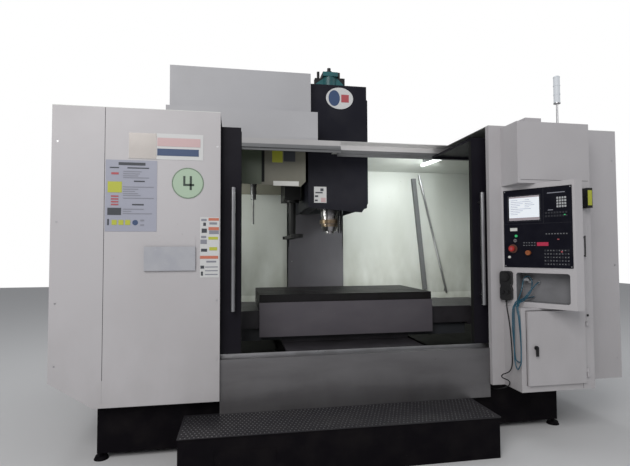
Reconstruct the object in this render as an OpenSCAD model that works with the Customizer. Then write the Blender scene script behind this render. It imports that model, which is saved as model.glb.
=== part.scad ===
// Vertical machining center with sliding doors, a side tool changer and a corner control pendant.
// Lengths are in millimetres. X runs along the front, Y to the back and Z up from the floor.
// The spindle axis stands at X 0, and the front plane of the enclosure is Y 0 before centring.

/* [Enclosure] */
// Overall width across the side panels
machine_w = 4000; // [3800:20:4200]
// Height of the front panels' top edge above the floor
wall_top = 2227; // [2150:1:2300]
// Height of the front panels' bottom edge above the floor
wall_bottom = 353; // [320:1:400]
// Depth from the front plane to the rear panels
wall_depth = 2050; // [2000:5:2120]
// Sheet metal thickness of panels and covers
sheet = 3; // [2:0.5:4]
// Depth of the folded edges of the front panels
fold = 40; // [25:1:50]
// Width of the door opening between the two parked doors
opening_w = 1690; // [1600:10:1760]
// Height of the top of the stainless sill
sill_top = 630; // [600:5:660]
// Height that the slanted lower corner of the left panel rises
corner_rise = 167; // [120:1:200]
// Width of the slanted lower corner of the left panel
corner_run = 260; // [180:5:320]

/* [Doors] */
// Width of each door
door_w = 980; // [940:5:1000]
// Height of the top of the doors
door_top = 2155; // [2120:1:2158]
// Thickness of the door leaf
door_t = 40; // [30:1:50]
// Depth of the door roof behind the leaf
door_roof_d = 500; // [420:5:510]
// Width of the door stile at the leading edge
stile_w = 130; // [110:1:140]
// Diameter of the tubular door handle
handle_d = 30; // [22:1:36]
// Length of the tubular door handle
handle_l = 820; // [700:10:900]
// Thickness of the window pane
pane_t = 8; // [6:1:12]

/* [Table and saddle] */
// Length of the work table
table_l = 1400; // [1380:5:1420]
// Width of the work table
table_w = 700; // [680:5:710]
// Thickness of the work table
table_t = 120; // [100:2:125]
// Height of the table's top above the floor
table_top = 980; // [975:1:1000]
// Number of T slots in the table
slot_n = 5; // [3:1:6]
// Mouth width of each T slot
slot_mouth = 18; // [14:1:22]
// Travel of the table to each side
x_travel = 650; // [500:10:650]
// Travel of the saddle to the back
y_travel = 700; // [500:10:700]
// Half length of the saddle casting
saddle_half = 1030; // [1030:5:1060]

/* [Head and spindle] */
// Distance of the spindle axis behind the front plane
spindle_y = 1200; // [1195:1:1205]
// Height of the spindle nose above the floor
nose_z = 1480; // [1475:1:1500]
// Radius of the spindle nose housing
nose_r = 80; // [74:1:84]
// Radius of the turning spindle
spindle_r = 46; // [42:1:50]
// Gauge diameter of the tool taper
taper_d = 44.45; // [40:0.05:50]
// Width of the head cover
cover_w = 530; // [500:5:540]
// Height of the top of the head cover
cover_top = 2810; // [2790:5:2840]
// Height of the bottom of the head cover
cover_bottom = 1700; // [1690:2:1710]
// Radius of the drawbar cylinder
cylinder_r = 72; // [60:1:80]

/* [Column and bed] */
// Width of the column at its foot
column_foot_w = 1000; // [900:10:1000]
// Width of the column at its top
column_top_w = 700; // [660:10:740]
// Depth of the column
column_d = 740; // [700:10:760]
// Height of the column's top
column_top = 2700; // [2640:10:2760]
// Width of the bed casting
bed_w = 980; // [960:5:1000]
// Height of the bed casting's top
bed_top = 500; // [495:1:505]
// Width of the guide rails
rail_w = 45; // [35:1:50]
// Diameter of the ball screws
screw_d = 40; // [32:1:45]

/* [Tool changer] */
// Number of tool stations in the magazine
station_n = 20; // [16:2:20]
// Pitch radius of the magazine
station_r = 310; // [300:1:315]
// Radius of a tool pot
pot_r = 34; // [30:1:36]
// Length of a tool pot
pot_l = 95; // [85:1:100]
// Length of the tool below its flange
tool_l = 370; // [300:5:380]
// Distance from the changer arm's pivot to each gripper
arm_reach = 360; // [355:1:365]

/* [Base] */
// Height of the step in front of the machine
step_h = 260; // [240:2:280]
// Depth of the step and coolant tank
step_d = 380; // [340:5:380]
// Front edge of the step ahead of the front plane
step_front = 330; // [300:5:340]
// Length of the step and coolant tank
step_l = 1980; // [1900:10:2040]

/* [Control column] */
// Width of the control column
control_w = 560; // [540:5:600]
// Depth of the control column ahead of the front plane
control_d = 200; // [190:1:210]
// How far the pendant stands ahead of the front plane
pendant_d = 400; // [390:2:410]
// Height of the pendant
pendant_h = 860; // [840:5:880]
// Width of the black control panel
panel_w = 450; // [440:1:455]
// Height of the black control panel
panel_h = 550; // [540:1:560]
// Diameter of the mushroom stop button
stop_d = 40; // [32:1:44]
// Diameter of the feed knob
knob_d = 34; // [26:1:38]
// Diameter of the hand wheel
wheel_d = 62; // [54:1:66]

/* [Hidden] */
$fn = 48;
iron = "#3c4348";
grey = "#8f9498";
fit = 0.3; // running clearance between pieces
half_w = machine_w / 2;
rear_y = 2060 + column_d;
mid_y = (rear_y - pendant_d) / 2;
inner_x = [half_w - 60, half_w - corner_run / 2]; // inner side walls, right and left
panel_in_l = -980; // inner edge of the left front panel
panel_in_r = 935; // inner edge of the right front panel
door_y = 80; // front of the door leaf
roof_z = wall_top;
header_y = 640; // front of the header over the doors
header_h = 70;
table_front = 500;
table_bottom = table_top - table_t;
saddle_front = 570;
saddle_back = 1130;
saddle_bottom = 620;
saddle_top = 740;
x_rail_h = 60;
x_rail_front = 700;
x_rail_back = 1000;
truck_x = 280;
truck_l = 180;
y_rail_x = 380;
y_rail_h = 60;
cover_step = sheet + fit; // step from one telescopic section to the next
y_cover_top = 595;
x_cover_top = table_bottom - 5;
x_cover_bottom = 720;
z_cover_y = 1949; // front face of the fixed Z cover
z_cover_lift = 30;
x_cover_l = 360;
x_cover_front = 525;
x_cover_back = 1175;
x_mid_l = 680;
x_mid_start = 715;
y_cover_l = 410;
y_cover_front = 130;
y_cover_w = 1040;
col_front = 2060;
z_rail_x = 250;
z_rail_d = 60;
screw_y = col_front - 50;
screw_z = bed_top - 20;
x_screw_z = saddle_top + 40;
x_bearing = 965; // middle of the X screw's bearing blocks
head_back = col_front - 90;
head_bottom = 1720;
head_top = 2400;
head_w = 340;
nose_top = 1710;
cover_left = -240;
cover_front = 930;
cover_back = 1860;
pulley_z = 2420;
pulley_h = 70;
spindle_pulley_r = 90;
motor_pulley_r = 75;
motor_y = 1590;
motor_z = 2520;
z_screw_r = screw_d / 2;
cyl_bottom = 2530;
cyl_top = 3010;
disc_x = -560; // right face of the magazine disc
disc_t = 40;
disc_z = 2400;
pot_x = -720; // axis of the waiting pot
pin_x = -630; // flip pin of the waiting pot
station_z = disc_z - station_r;
pin_z = station_z - (pin_x - pot_x);
pot_top = station_z + disc_x - disc_t - fit * 10 + pot_x - 2 * pin_x;
arm_x = -arm_reach;
arm_z = 1430;
plate_x = -500; // left face of the magazine plate
control_x = 1030;
control_top = 2210;
pendant_z = 920;
pendant_top = pendant_z + pendant_h;
pendant_x = 1300;
pendant_right = 1420;
face_a = atan2(-pendant_d, pendant_x - control_x);
face_l = norm([pendant_x - control_x, pendant_d]);
panel_u = (face_l - panel_w) / 2;
panel_z = 1195;
cord_d = 8;
hose_d = 8;
// Route of the hand wheel's cord, from the hand wheel to the plinth
mpg_route = [
    [1027, -43, 958], [1027, -43, 940], [1024, -52, 905], [1021, -66, 870], [1019, -80, 830],
        [1018, -91, 785],
    [1017, -100, 735], [1016, -107, 685], [1016, -112, 635], [1016, -115, 585], [1015, -116, 540],
        [1011, -113, 502],
    [998, -107, 474], [977, -98, 460], [960, -90, 452], [952, -85, 440], [960, -82, 427], [980, -84, 417],
    [1002, -87, 406], [1013, -86, 388], [1009, -77, 368], [994, -58, 350], [976, -30, 334], [967, 0, 324],
    [964, 35, 316], [964, 70, 312], [964, 97, 312]
];
// Route of the air hose, from its fitting in the cubby, twice down to a loop and back over the hanger
hose_route = [
    [1217, -85, 985], [1202, -95, 985], [1127, -106, 974], [1090, -107, 966], [1062, -117, 950],
    [1024, -141, 924], [1017, -146, 900], [1014, -148, 870], [1011, -151, 760], [1008, -155, 590],
    [1007, -162, 548], [1006, -178, 519], [1005, -196, 510], [1006, -226, 552], [1007, -230, 590],
    [1013, -222, 700], [1018, -208, 820], [1021, -198, 870], [1021, -187, 900], [1025, -177, 924],
    [1040, -164, 936], [1060, -147, 952], [1106, -130, 967], [1161, -123, 1020], [1176, -118, 1060],
    [1180, -116, 1095], [1173, -104, 1124], [1164, -91, 1131], [1155, -78, 1124], [1147, -66, 1098],
    [1136, -67, 1050], [1097, -85, 977], [1056, -105, 950], [1040, -117, 935], [1024, -127, 924],
    [1016, -131, 900], [1013, -133, 865], [1012, -135, 755], [1016, -150, 590], [1018, -165, 560],
    [1018, -203, 560], [1017, -214, 590], [1020, -210, 700], [1021, -194, 820], [1022, -184, 870],
    [1021, -173, 900], [1025, -163, 924], [1040, -150, 936], [1060, -133, 951], [1125, -114, 986],
    [1149, -113, 1012], [1172, -128, 1045], [1190, -140, 1072], [1205, -137, 1083], [1223, -128, 1088],
    [1239, -117, 1088]
];

// A box given by its lowest and highest corners
module block(a, b) {
    translate(a) cube(b - a);
}

// A rod along Y that starts at p
module rod_y(p, r, l) {
    translate(p) rotate([-90, 0, 0]) cylinder(r = r, h = l);
}

// A rod along X that starts at p
module rod_x(p, r, l) {
    translate(p) rotate([0, 90, 0]) cylinder(r = r, h = l);
}

// An upright rod that starts at p
module rod_z(p, r, l) {
    translate(p) cylinder(r = r, h = l);
}

// A box of a given size with its lowest corner at p
module box(p, size) {
    translate(p) cube(size);
}

// An outline in X and Z, given depth along Y from y0
module upright(pts, y0, depth) {
    translate([0, y0 + depth, 0]) rotate([90, 0, 0]) linear_extrude(depth) polygon(pts);
}

// An outline in Y and Z, given length along X from x0
module along_x(pts, x0, l) {
    translate([x0, 0, 0]) rotate([90, 0, 90]) linear_extrude(l) polygon(pts);
}

// A sheet cover with a top and two walls, open below, over the length from x0
module tunnel_x(x0, l, y0, y1, z0, z1) {
    difference() {
        block([x0, y0, z0], [x0 + l, y1, z1]);
        block([x0 - 1, y0 + sheet, z0 - 1], [x0 + l + 1, y1 - sheet, z1 - sheet]);
    }
}

// The same along Y from y0
module tunnel_y(y0, l, half, z0, z1) {
    difference() {
        block([-half, y0, z0], [half, y0 + l, z1]);
        block([-half + sheet, y0 - 1, z0 - 1], [half - sheet, y0 + l + 1, z1 - sheet]);
    }
}

// A folded panel: a flat face with returns on all four edges, open to the back
module folded(a, b) {
    difference() {
        block(a, b);
        block([a.x + sheet, a.y + sheet, a.z + sheet], [b.x - sheet, b.y + 1, b.z - sheet]);
    }
}

// A servo motor along +X with its flange at the origin
module servo(size, l) {
    box([0, -size / 2, -size / 2], [14, size, size]);
    box([14, -size * 0.45, -size * 0.45], [l * 0.72, size * 0.9, size * 0.9]);
    translate([14 + l * 0.72, 0, 0]) rotate([0, 90, 0]) cylinder(r = size * 0.4, h = l * 0.28);
    box([l * 0.55, -size * 0.2, size * 0.45], [45, size * 0.4, 28]);
}

// Bed and column

// Ribbed bed casting with two seats for the Y rails and pockets between the ribs
module bed() {
    color(iron) difference() {
        along_x([[150, 110], [rear_y, 110], [rear_y, bed_top], [150, bed_top]], -bed_w / 2, bed_w);
        block([-y_rail_x + 70, 200, 300], [y_rail_x - 70, 1900, bed_top + 1]);
        block([-90, 1890, 390], [90, 2050, bed_top + 1]);
        for (side = [-1, 1])
            for (i = [0:3])
                box([side * bed_w / 2 - 30, 330 + i * 600, 170], [60, 440, 250]);
    }
    // Bearing block and motor wall of the Y screw
    color(iron) difference() {
        union() {
            block([-75, 215, 300], [75, 245, 520]);
            block([-90, 1770, 300], [90, 1800, 560]);
        }
        rod_y([0, 200, screw_z], z_screw_r + fit, 1700);
    }
}

// Screwed feet under the bed and the plinth, each with a pad, a stud and a nut
module levelling_feet() {
    color("#6b6f72")
        for (x = [-bed_w / 2 + 70, bed_w / 2 - 70])
            for (y = [240, 1240, rear_y - 90])
                translate([x, y, 0]) {
                    cylinder(r1 = 60, r2 = 45, h = 30);
                    rod_z([0, 0, 30], 15, 50);
                    translate([0, 0, 80]) cylinder(r = 34, h = 30, $fn = 6);
                }
}

// Tapered column with a pocket for the Z screw, cross windows and a rear opening
module column() {
    foot = column_foot_w / 2;
    top = column_top_w / 2;
    color(iron) difference() {
        upright([[-foot, bed_top], [foot, bed_top], [top, column_top], [-top, column_top]],
            col_front, column_d);
        block([-170, col_front - 1, 620], [170, col_front + 120, 2640]);
        block([-230, col_front + 240, 620], [230, rear_y + 1, 1400]);
        block([-200, col_front + 240, 1520], [200, rear_y + 1, 2500]);
    }
    // Screw bearing blocks
    color(iron) for (z = [680, 2600])
        difference() {
            block([-75, screw_y - 38, z - 30], [75, col_front + 120, z + 30]);
            rod_z([0, screw_y, z - 31], z_screw_r + fit, 62);
        }
    color(iron) block([-130, screw_y - 60, column_top], [130, col_front + 240, column_top + 30]);
}

// Guide rails of the saddle on the bed and of the head on the column, with side grooves
module rail_profile(w, h) {
    difference() {
        translate([-w / 2, 0]) square([w, h]);
        for (s = [-1, 1])
            translate([s * w / 2, h * 0.55]) circle(r = w * 0.16, $fn = 16);
    }
}

module fixed_rails() {
    color("#b9bdc0") {
        for (x = [-y_rail_x, y_rail_x])
            translate([x, 1960, bed_top]) rotate([90, 0, 0]) linear_extrude(1760)
                rail_profile(rail_w, y_rail_h);
        for (x = [-z_rail_x, z_rail_x])
            translate([x, col_front, 800]) rotate([0, 0, 180]) linear_extrude(1780)
                rail_profile(rail_w, z_rail_d);
    }
}

// A guide truck that straddles a rail along Y, centred on y
module truck_y(x, y, z0, z1) {
    color(grey) difference() {
        block([x - 60, y - truck_l / 2, z0], [x + 60, y + truck_l / 2, z1]);
        block([x - rail_w / 2 - fit, y - truck_l, z0 - 1],
            [x + rail_w / 2 + fit, y + truck_l, bed_top + y_rail_h + fit]);
    }
}

// Saddle casting with the X rails on it, four Y trucks and the X screw's bearing blocks
module saddle() {
    color(iron) difference() {
        block([-saddle_half, saddle_front, saddle_bottom], [saddle_half, saddle_back, saddle_top]);
        block([-saddle_half + 120, 760, saddle_bottom + 40], [saddle_half - 120, 940, saddle_top + 1]);
        for (s = [-1, 1])
            block([s * 750 - 170, saddle_front + 80, saddle_bottom - 1],
                [s * 750 + 170, saddle_back - 80, saddle_top - 40]);
    }
    for (x = [-y_rail_x, y_rail_x])
        for (y = [saddle_front + truck_l / 2 + 2, saddle_back - truck_l / 2 - 2])
            truck_y(x, y, bed_top + 22, saddle_bottom);
    color("#b9bdc0") for (y = [x_rail_front, x_rail_back])
        translate([-1000, y, saddle_top]) rotate([90, 0, 90]) linear_extrude(2000)
            rail_profile(rail_w, x_rail_h);
    color(iron) for (s = [-1, 1])
        difference() {
            block([s * x_bearing - 30, 780, saddle_top], [s * x_bearing + 30, 920, saddle_top + 85]);
            rod_x([s * x_bearing - 31, 850, x_screw_z], z_screw_r + fit, 62);
        }
    // Nut of the Y screw
    color(grey) difference() {
        block([-70, 780, 445], [70, 900, saddle_bottom]);
        rod_y([0, 779, screw_z], z_screw_r + fit, 122);
    }
}

// Cast table with T slots, coolant lips, X trucks and the X screw's nut
module work_table() {
    pitch = table_w / (slot_n + 0.6);
    color("#85898b") difference() {
        block([-table_l / 2, table_front, table_bottom], [table_l / 2, table_front + table_w, table_top]);
        for (i = [0:slot_n - 1])
            translate([0, table_front + table_w / 2 + (i - (slot_n - 1) / 2) * pitch, table_top]) {
                block([-table_l, -slot_mouth / 2, -30], [table_l, slot_mouth / 2, 1]);
                block([-table_l, -slot_mouth * 0.85, -46], [table_l, slot_mouth * 0.85, -29]);
            }
        for (s = [-1, 1])
            block([s * 350 - 260, table_front + 60, table_bottom - 1],
                [s * 350 + 260, table_front + 130, table_bottom + 45]);
    }
    for (x = [-truck_x, truck_x])
        for (y = [x_rail_front, x_rail_back])
            color(grey) difference() {
                block([x - truck_l / 2, y - 55, saddle_top + 22], [x + truck_l / 2, y + 55, table_bottom]);
                block([x - truck_l, y - rail_w / 2 - fit, saddle_top],
                    [x + truck_l, y + rail_w / 2 + fit, saddle_top + x_rail_h + fit]);
            }
    color(grey) difference() {
        block([-80, 800, saddle_top + 8], [80, 900, table_bottom]);
        rod_x([-81, 850, x_screw_z], z_screw_r + fit, 162);
    }
}

// A ball screw along +Z with a plain journal at each end and ball grooves between
module screw(l, grooves) {
    difference() {
        cylinder(r = z_screw_r, h = l);
        for (i = [0:grooves - 1])
            translate([0, 0, 120 + i * (l - 240) / grooves]) rotate_extrude($fn = 24)
                translate([z_screw_r, 0]) circle(r = 4, $fn = 8);
    }
}

module y_screw() {
    color("#c4c8ca") translate([0, 240, screw_z]) rotate([-90, 0, 0]) screw(1560, 12);
}

module x_screw() {
    color("#c4c8ca") translate([-x_bearing - 30, 850, x_screw_z]) rotate([0, 90, 0])
        screw(2 * x_bearing + 60, 12);
}

module z_screw() {
    color("#c4c8ca") translate([0, screw_y, 640]) screw(column_top - 640 - fit, 12);
}

// The Y motor in the front of the bed's trough and the Z motor on the column
module fixed_servos() {
    color("#26282a") {
        translate([0, 1800 + fit, screw_z]) rotate([0, 0, 90]) servo(130, 230);
        translate([0, screw_y, column_top + 30]) rotate([0, -90, 0]) servo(160, 260);
    }
}

module x_servo() {
    color("#26282a") translate([x_bearing + 30 + fit, 850, x_screw_z]) rotate([180, 0, 0]) servo(76, 200);
}

// Way covers: fixed front section on the bed with its feet, and fixed lower plates on the column
module fixed_way_covers() {
    half = y_cover_w / 2 - 2 * cover_step;
    low = saddle_bottom - z_cover_lift;
    color("#8d9294") {
        tunnel_y(y_cover_front, y_cover_l, half, bed_top - 30, y_cover_top);
        for (s = [0, 1])
            mirror([s, 0, 0]) {
                block([bed_w / 2, 200, bed_top - 30], [half - sheet, 240, bed_top]);
                block([280, z_cover_y + sheet, low], [310, col_front, 780]);
            }
        difference() {
            block([-310, z_cover_y, low], [310, z_cover_y + sheet, 1360]);
            for (x = [-270, 270])
                rod_y([x, z_cover_y - 9, 1200], 5, 20);
        }
        block([-280, z_cover_y + sheet, low], [280, z_cover_y + 11, 780]);
    }
}

module y_cover_mid() {
    color("#979c9e") tunnel_y(y_cover_front + 15, y_cover_l, y_cover_w / 2 - cover_step, bed_top - 20,
        y_cover_top + cover_step);
}

// Sections that ride on the saddle: the front Y cover and the inner X covers
module saddle_covers() {
    top = y_cover_top + 2 * cover_step;
    inset = 2 * cover_step;
    color("#9aa0a2") {
        tunnel_y(saddle_front - y_cover_l, y_cover_l, y_cover_w / 2, bed_top - 10, top);
        block([-y_cover_w / 2, saddle_front - sheet, top], [y_cover_w / 2, saddle_front, 680]);
        for (s = [0, 1])
            mirror([s, 0, 0]) {
                tunnel_x(saddle_half, 370, x_cover_front + inset, x_cover_back - inset, 700,
                    x_cover_top - inset);
                block([saddle_half, x_cover_front + inset + sheet, 700],
                    [saddle_half + 70, x_cover_back - inset - sheet, 703]);
            }
    }
}

module x_cover_mid() {
    color("#a3a8aa") for (s = [0, 1])
        mirror([s, 0, 0]) tunnel_x(x_mid_start, x_mid_l, x_cover_front + cover_step,
            x_cover_back - cover_step,
            x_cover_bottom, x_cover_top - cover_step);
}

// Outer X sections at the ends of the table, and the grey apron along its front
module table_covers() {
    front = table_front - 20;
    color("#8b9092") {
        for (s = [0, 1])
            mirror([s, 0, 0]) {
                tunnel_x(table_l / 2, x_cover_l, x_cover_front, x_cover_back, x_cover_bottom, x_cover_top);
                block([table_l / 2, 540, x_cover_top], [table_l / 2 + sheet, 1160, table_bottom + 40]);
            }
        block([-table_l / 2, front, 660], [table_l / 2, front + sheet, 920]);
        block([-table_l / 2, front + sheet, 880], [table_l / 2, table_front, 920]);
        block([-table_l / 2, front + sheet, 660], [table_l / 2, front + 40, 660 + sheet]);
    }
}

module z_cover_mid() {
    y = z_cover_y - cover_step;
    color("#979c9e") difference() {
        block([-300, y, 1250], [300, y + sheet, 1540]);
        for (x = [-270, 270])
            rod_y([x, y - 7, 1290], 5, 20);
    }
}

// Head, spindle and their cover

// Head casting with its back plate, guide trucks, ribs, screw nut, spindle bore and the upper way cover
module head_casting() {
    arm = [[spindle_y - 40, 1745], [head_back - 70, head_bottom], [head_back - 70, head_top],
        [spindle_y + 160, head_top],
        [spindle_y - 40, 2230]];
    color(iron) {
        difference() {
            union() {
                along_x(arm, -head_w / 2, head_w);
                rod_z([0, spindle_y, 1745], 140, 485);
                block([-310, head_back - 70, head_bottom], [310, head_back, head_top]);
            }
            rod_z([0, spindle_y, head_bottom - 20], 95 + fit, 900);
            rod_z([0, spindle_y, head_bottom - 20], 120, nose_top + 52 + fit - head_bottom);
            block([-90, spindle_y + 190, head_bottom - 1], [90, head_back - 100, 1990]);
        }
        difference() {
            block([-75, head_back, 1980], [75, screw_y + 45, 2100]);
            rod_z([0, screw_y, 1979], z_screw_r + fit, 122);
        }
        // Posts and plate that carry the spindle motor
        difference() {
            block([-110, motor_y - 110, motor_z - 20], [110, motor_y + 110, motor_z]);
            rod_z([0, motor_y, motor_z - 21], 40, 22);
        }
        for (x = [-105, 85])
            block([x, motor_y + 60, head_top], [x + 20, motor_y + 110, motor_z - 20]);
        // Brackets that carry the drawbar cylinder
        for (x = [-150, 130])
            block([x, spindle_y + 60, 2230], [x + 20, spindle_y + 105, cyl_bottom - 20]);
        difference() {
            block([-150, spindle_y - 105, cyl_bottom - 20], [150, spindle_y + 105, cyl_bottom]);
            rod_z([0, spindle_y, cyl_bottom - 21], 40, 22);
        }
    }
    color(grey) for (x = [-z_rail_x, z_rail_x])
        for (z = [head_bottom + 110, head_top - 110])
            difference() {
                block([x - 55, head_back, z - truck_l / 2], [x + 55, col_front - 15, z + truck_l / 2]);
                block([x - rail_w / 2 - fit, col_front - z_rail_d - fit, z - truck_l],
                    [x + rail_w / 2 + fit, col_front, z + truck_l]);
            }
    color("#979c9e") {
        block([-290, z_cover_y - 2 * cover_step, 1420],
            [290, z_cover_y - 2 * cover_step + sheet, head_bottom]);
    }
}

// Nose housing of the spindle, a flanged sleeve with the brass coolant ring and two jointed coolant hoses
module spindle_housing() {
    color("#c9cccd") translate([0, spindle_y, 0]) difference() {
        union() {
            translate([0, 0, nose_z + 22]) cylinder(r1 = nose_r - 12, r2 = nose_r, h = 40);
            rod_z([0, 0, nose_z + 62], nose_r, 100);
            rod_z([0, 0, nose_z + 162], nose_r + 8, nose_top - nose_z - 162);
            rod_z([0, 0, nose_top], 118, 32);
            rod_z([0, 0, nose_top + 32], 95, 500);
        }
        rod_z([0, 0, nose_z - 1], spindle_r + fit, 900);
        for (i = [0:7])
            rotate(i * 45) rod_z([106, 0, nose_top - 1], 6, 14);
    }
    color("#a08048") translate([0, spindle_y, 0]) difference() {
        rod_z([0, 0, nose_z + 92], nose_r + 16, 34);
        rod_z([0, 0, nose_z + 91], nose_r + fit, 36);
    }
    color("#1d1f20") for (a = [-52, -22])
        translate([0, spindle_y, 0]) rotate(a) translate([nose_r + 28, 0, 0])
            coolant_hose(cover_bottom - nose_z - 20);
}

// A jointed coolant hose: a screwed socket, ball links and a nozzle, hanging from its valve
module coolant_hose(l) {
    links = 7;
    pitch = (l - 60) / links;
    translate([0, 0, nose_z]) {
        cylinder(r1 = 4, r2 = 9, h = 36);
        for (i = [0:links - 1])
            translate([0, 0, 36 + i * pitch]) {
                cylinder(r1 = 12, r2 = 9, h = pitch * 0.7);
                rod_z([0, 0, pitch * 0.7], 8, pitch * 0.3);
            }
        translate([0, 0, 36 + links * pitch]) cylinder(r = 12, h = 24, $fn = 6);
        rod_z([0, 0, 60 + links * pitch], 9, 20 + nose_top - cover_bottom);
    }
}

// Turning spindle: nose with drive keys and a 7 in 24 taper, shaft and toothed pulley
module spindle() {
    taper_l = 68;
    color("#d3d5d6") translate([0, spindle_y, 0]) difference() {
        union() {
            rod_z([0, 0, nose_z], spindle_r - 1, 22);
            rod_z([0, 0, nose_z + 21.7], spindle_r, 760);
            rod_z([0, 0, nose_z + 780], 35, pulley_z + pulley_h - nose_z - 780 + 20);
            for (a = [0, 180])
                rotate(a) box([spindle_r - 16, -8, nose_z - 9], [14, 16, 12]);
        }
        translate([0, 0, nose_z - 0.01])
            cylinder(r1 = taper_d / 2, r2 = taper_d / 2 - taper_l * 7 / 48, h = taper_l);
        rod_z([0, 0, nose_z + taper_l - 1], 11, 1200);
    }
    color("#4a4d50") translate([0, spindle_y, pulley_z]) belt_pulley(spindle_pulley_r, 34.5);
}

// A toothed belt pulley with a flange above and below
module belt_pulley(r, hub_r) {
    teeth = 36;
    difference() {
        union() {
            cylinder(r = r, h = pulley_h);
            cylinder(r = r + 8, h = 4);
            rod_z([0, 0, pulley_h - 4], r + 8, 4);
        }
        rod_z([0, 0, -1], hub_r, pulley_h + 2);
        for (i = [0:teeth - 1])
            rotate(i * 360 / teeth) box([r - 2, -2.6, 7], [4, 5.2, pulley_h - 14]);
    }
}

module spindle_motor() {
    color("#26282a") translate([0, motor_y, motor_z]) {
        box([-100, -100, 0], [200, 200, 16]);
        for (i = [0:5])
            box([-94, -94, 16 + i * 34], [188, 188, 30]);
        box([-84, -84, 16], [168, 168, 204]);
        rod_z([0, 0, 220], 88, 50);
    }
}

module motor_pulley() {
    color("#4a4d50") translate([0, motor_y, 0]) {
        translate([0, 0, pulley_z]) belt_pulley(motor_pulley_r, 17.9);
        rod_z([0, 0, pulley_z], 18, motor_z - pulley_z - fit);
    }
}

// Toothed belt round both pulleys
module drive_belt() {
    t = 6;
    gap = 0.6;
    module loop(extra) {
        hull() {
            translate([0, spindle_y]) circle(r = spindle_pulley_r + extra);
            translate([0, motor_y]) circle(r = motor_pulley_r + extra);
        }
    }
    color("#191a1b") translate([0, 0, pulley_z + 8]) linear_extrude(pulley_h - 16) difference() {
        loop(gap + t);
        loop(gap);
    }
}

// Air cylinder that opens the drawbar, with its tie rods, valves and pipes
module drawbar_cylinder() {
    color("#2f8f8c") translate([0, spindle_y, 0]) {
        box([-cylinder_r, -cylinder_r, cyl_bottom], [2 * cylinder_r, 2 * cylinder_r, 40]);
        rod_z([0, 0, cyl_bottom + 40], cylinder_r - 4, cyl_top - cyl_bottom - 80);
        box([-cylinder_r, -cylinder_r, cyl_top - 40], [2 * cylinder_r, 2 * cylinder_r, 40]);
    }
    color("#1d1f20") translate([0, spindle_y, 0]) {
        box([-cylinder_r - 70, -30, cyl_top - 110], [82, 60, 60]);
        box([cylinder_r - 12, -30, cyl_top - 120], [88, 60, 80]);
        rod_z([cylinder_r + 20, 0, cyl_top - 40], 16, 60);
        rod_z([-cylinder_r - 34, 0, cyl_top - 50], 13, 70);
        rod_z([0, 0, cyl_top], 30, 26);
        rod_z([0, 0, cyl_top + 26], 17, 34);
    }
}

// Dark sheet cover over the head, open below and behind, with a hole for the drawbar cylinder
module head_cover() {
    r = cover_left + cover_w;
    z_step = 2690;
    out = 9;
    color("#20262e") difference() {
        union() {
            block([cover_left, cover_front, cover_bottom], [r, cover_back, cover_top]);
            upright([[cover_left - out, cover_bottom], [r - 50, cover_bottom - 40],
                [r + out, cover_bottom + 40],
                [r + out, z_step - out], [r, z_step], [cover_left, z_step], [cover_left - out, z_step - out]],
                cover_front - 2, 340);
        }
        block([cover_left + sheet, cover_front + sheet, cover_bottom - 60],
            [r - sheet, cover_back + 1, cover_top - sheet]);
        block([cover_left - sheet, cover_front + sheet + 8, cover_bottom + 60],
            [r + sheet, cover_front + 330, z_step - 60]);
        translate([0, spindle_y, cover_top - 10]) cube([2 * cylinder_r + 8, 2 * cylinder_r + 8, 40],
            center = true);
    }
    // Folded straps that seat the cover on the head casting
    color("#20262e") for (x = [[cover_left + sheet, -head_w / 2], [head_w / 2, r - sheet]])
        block([x[0], spindle_y + 260, 1860], [x[1], spindle_y + 320, 1870]);
}

// Tool changer

// Plate on the column's side with the disc's bearing, the flip bracket, the arm's gearbox and the sheet
// housing
module magazine_frame() {
    back = col_front + 420;
    color("#4b5054") {
        block([plate_x, 860, 2040], [plate_x + 30, 1560, 2660]);
        block([plate_x - 30, 1450, 2240], [plate_x, back, 2460]);
        upright([[plate_x, 2240], [-column_side(2240) - fit, 2240], [-column_side(2460) - fit, 2460],
            [plate_x, 2460]],
            col_front + 60, back - col_front - 60);
        rod_x([disc_x + 5 + fit, spindle_y, disc_z], 60, plate_x - disc_x - 5 - fit);
        rod_x([disc_x - 24, spindle_y, disc_z], 30 - fit, 40);
        rod_x([plate_x + 30, spindle_y, disc_z], 70, 120);
    }
    // Bracket and pin of the flipping pot
    color(grey) {
        block([pin_x - 15, spindle_y - 35, pin_z - 15], [plate_x + 30, spindle_y + 35, pin_z + 12]);
        block([plate_x, spindle_y - 60, pin_z - 15], [plate_x + 30, spindle_y + 60, 2040]);
        rod_y([pin_x, spindle_y - 62, pin_z], 8, 124);
    }
    // Cam gearbox that turns the arm
    color("#4b5054") {
        block([arm_x - 75, spindle_y - 70, 1790], [arm_x + 75, spindle_y + 300, 1975]);
        rod_z([arm_x, spindle_y, 1765], 62, 25);
        block([plate_x + 30, spindle_y + 75, 1975], [arm_x + 60, spindle_y + 290, 2170]);
        rod_y([arm_x, spindle_y + 300, 1885], 60, 160);
    }
    // Sheet housing around the changer, open to the left and below
    color("#565b60") {
        difference() {
            upright([[-840, 1890], [-330, 1870], [-285, 1915], [-285, roof_z], [-840, roof_z]], 845, sheet);
            rod_y([-560, 840, 2010], 4, 20);
        }
        block([-285 - sheet, 845 + sheet, 1915], [-285, 1620, roof_z]);
        block([-840, 1620, 1890], [-285, 1620 + sheet, roof_z]);
    }
}

// Half width of the column at height z
function column_side(z) = column_foot_w / 2 - (column_foot_w - column_top_w) / 2 * (z - bed_top)
    / (column_top - bed_top);

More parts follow.
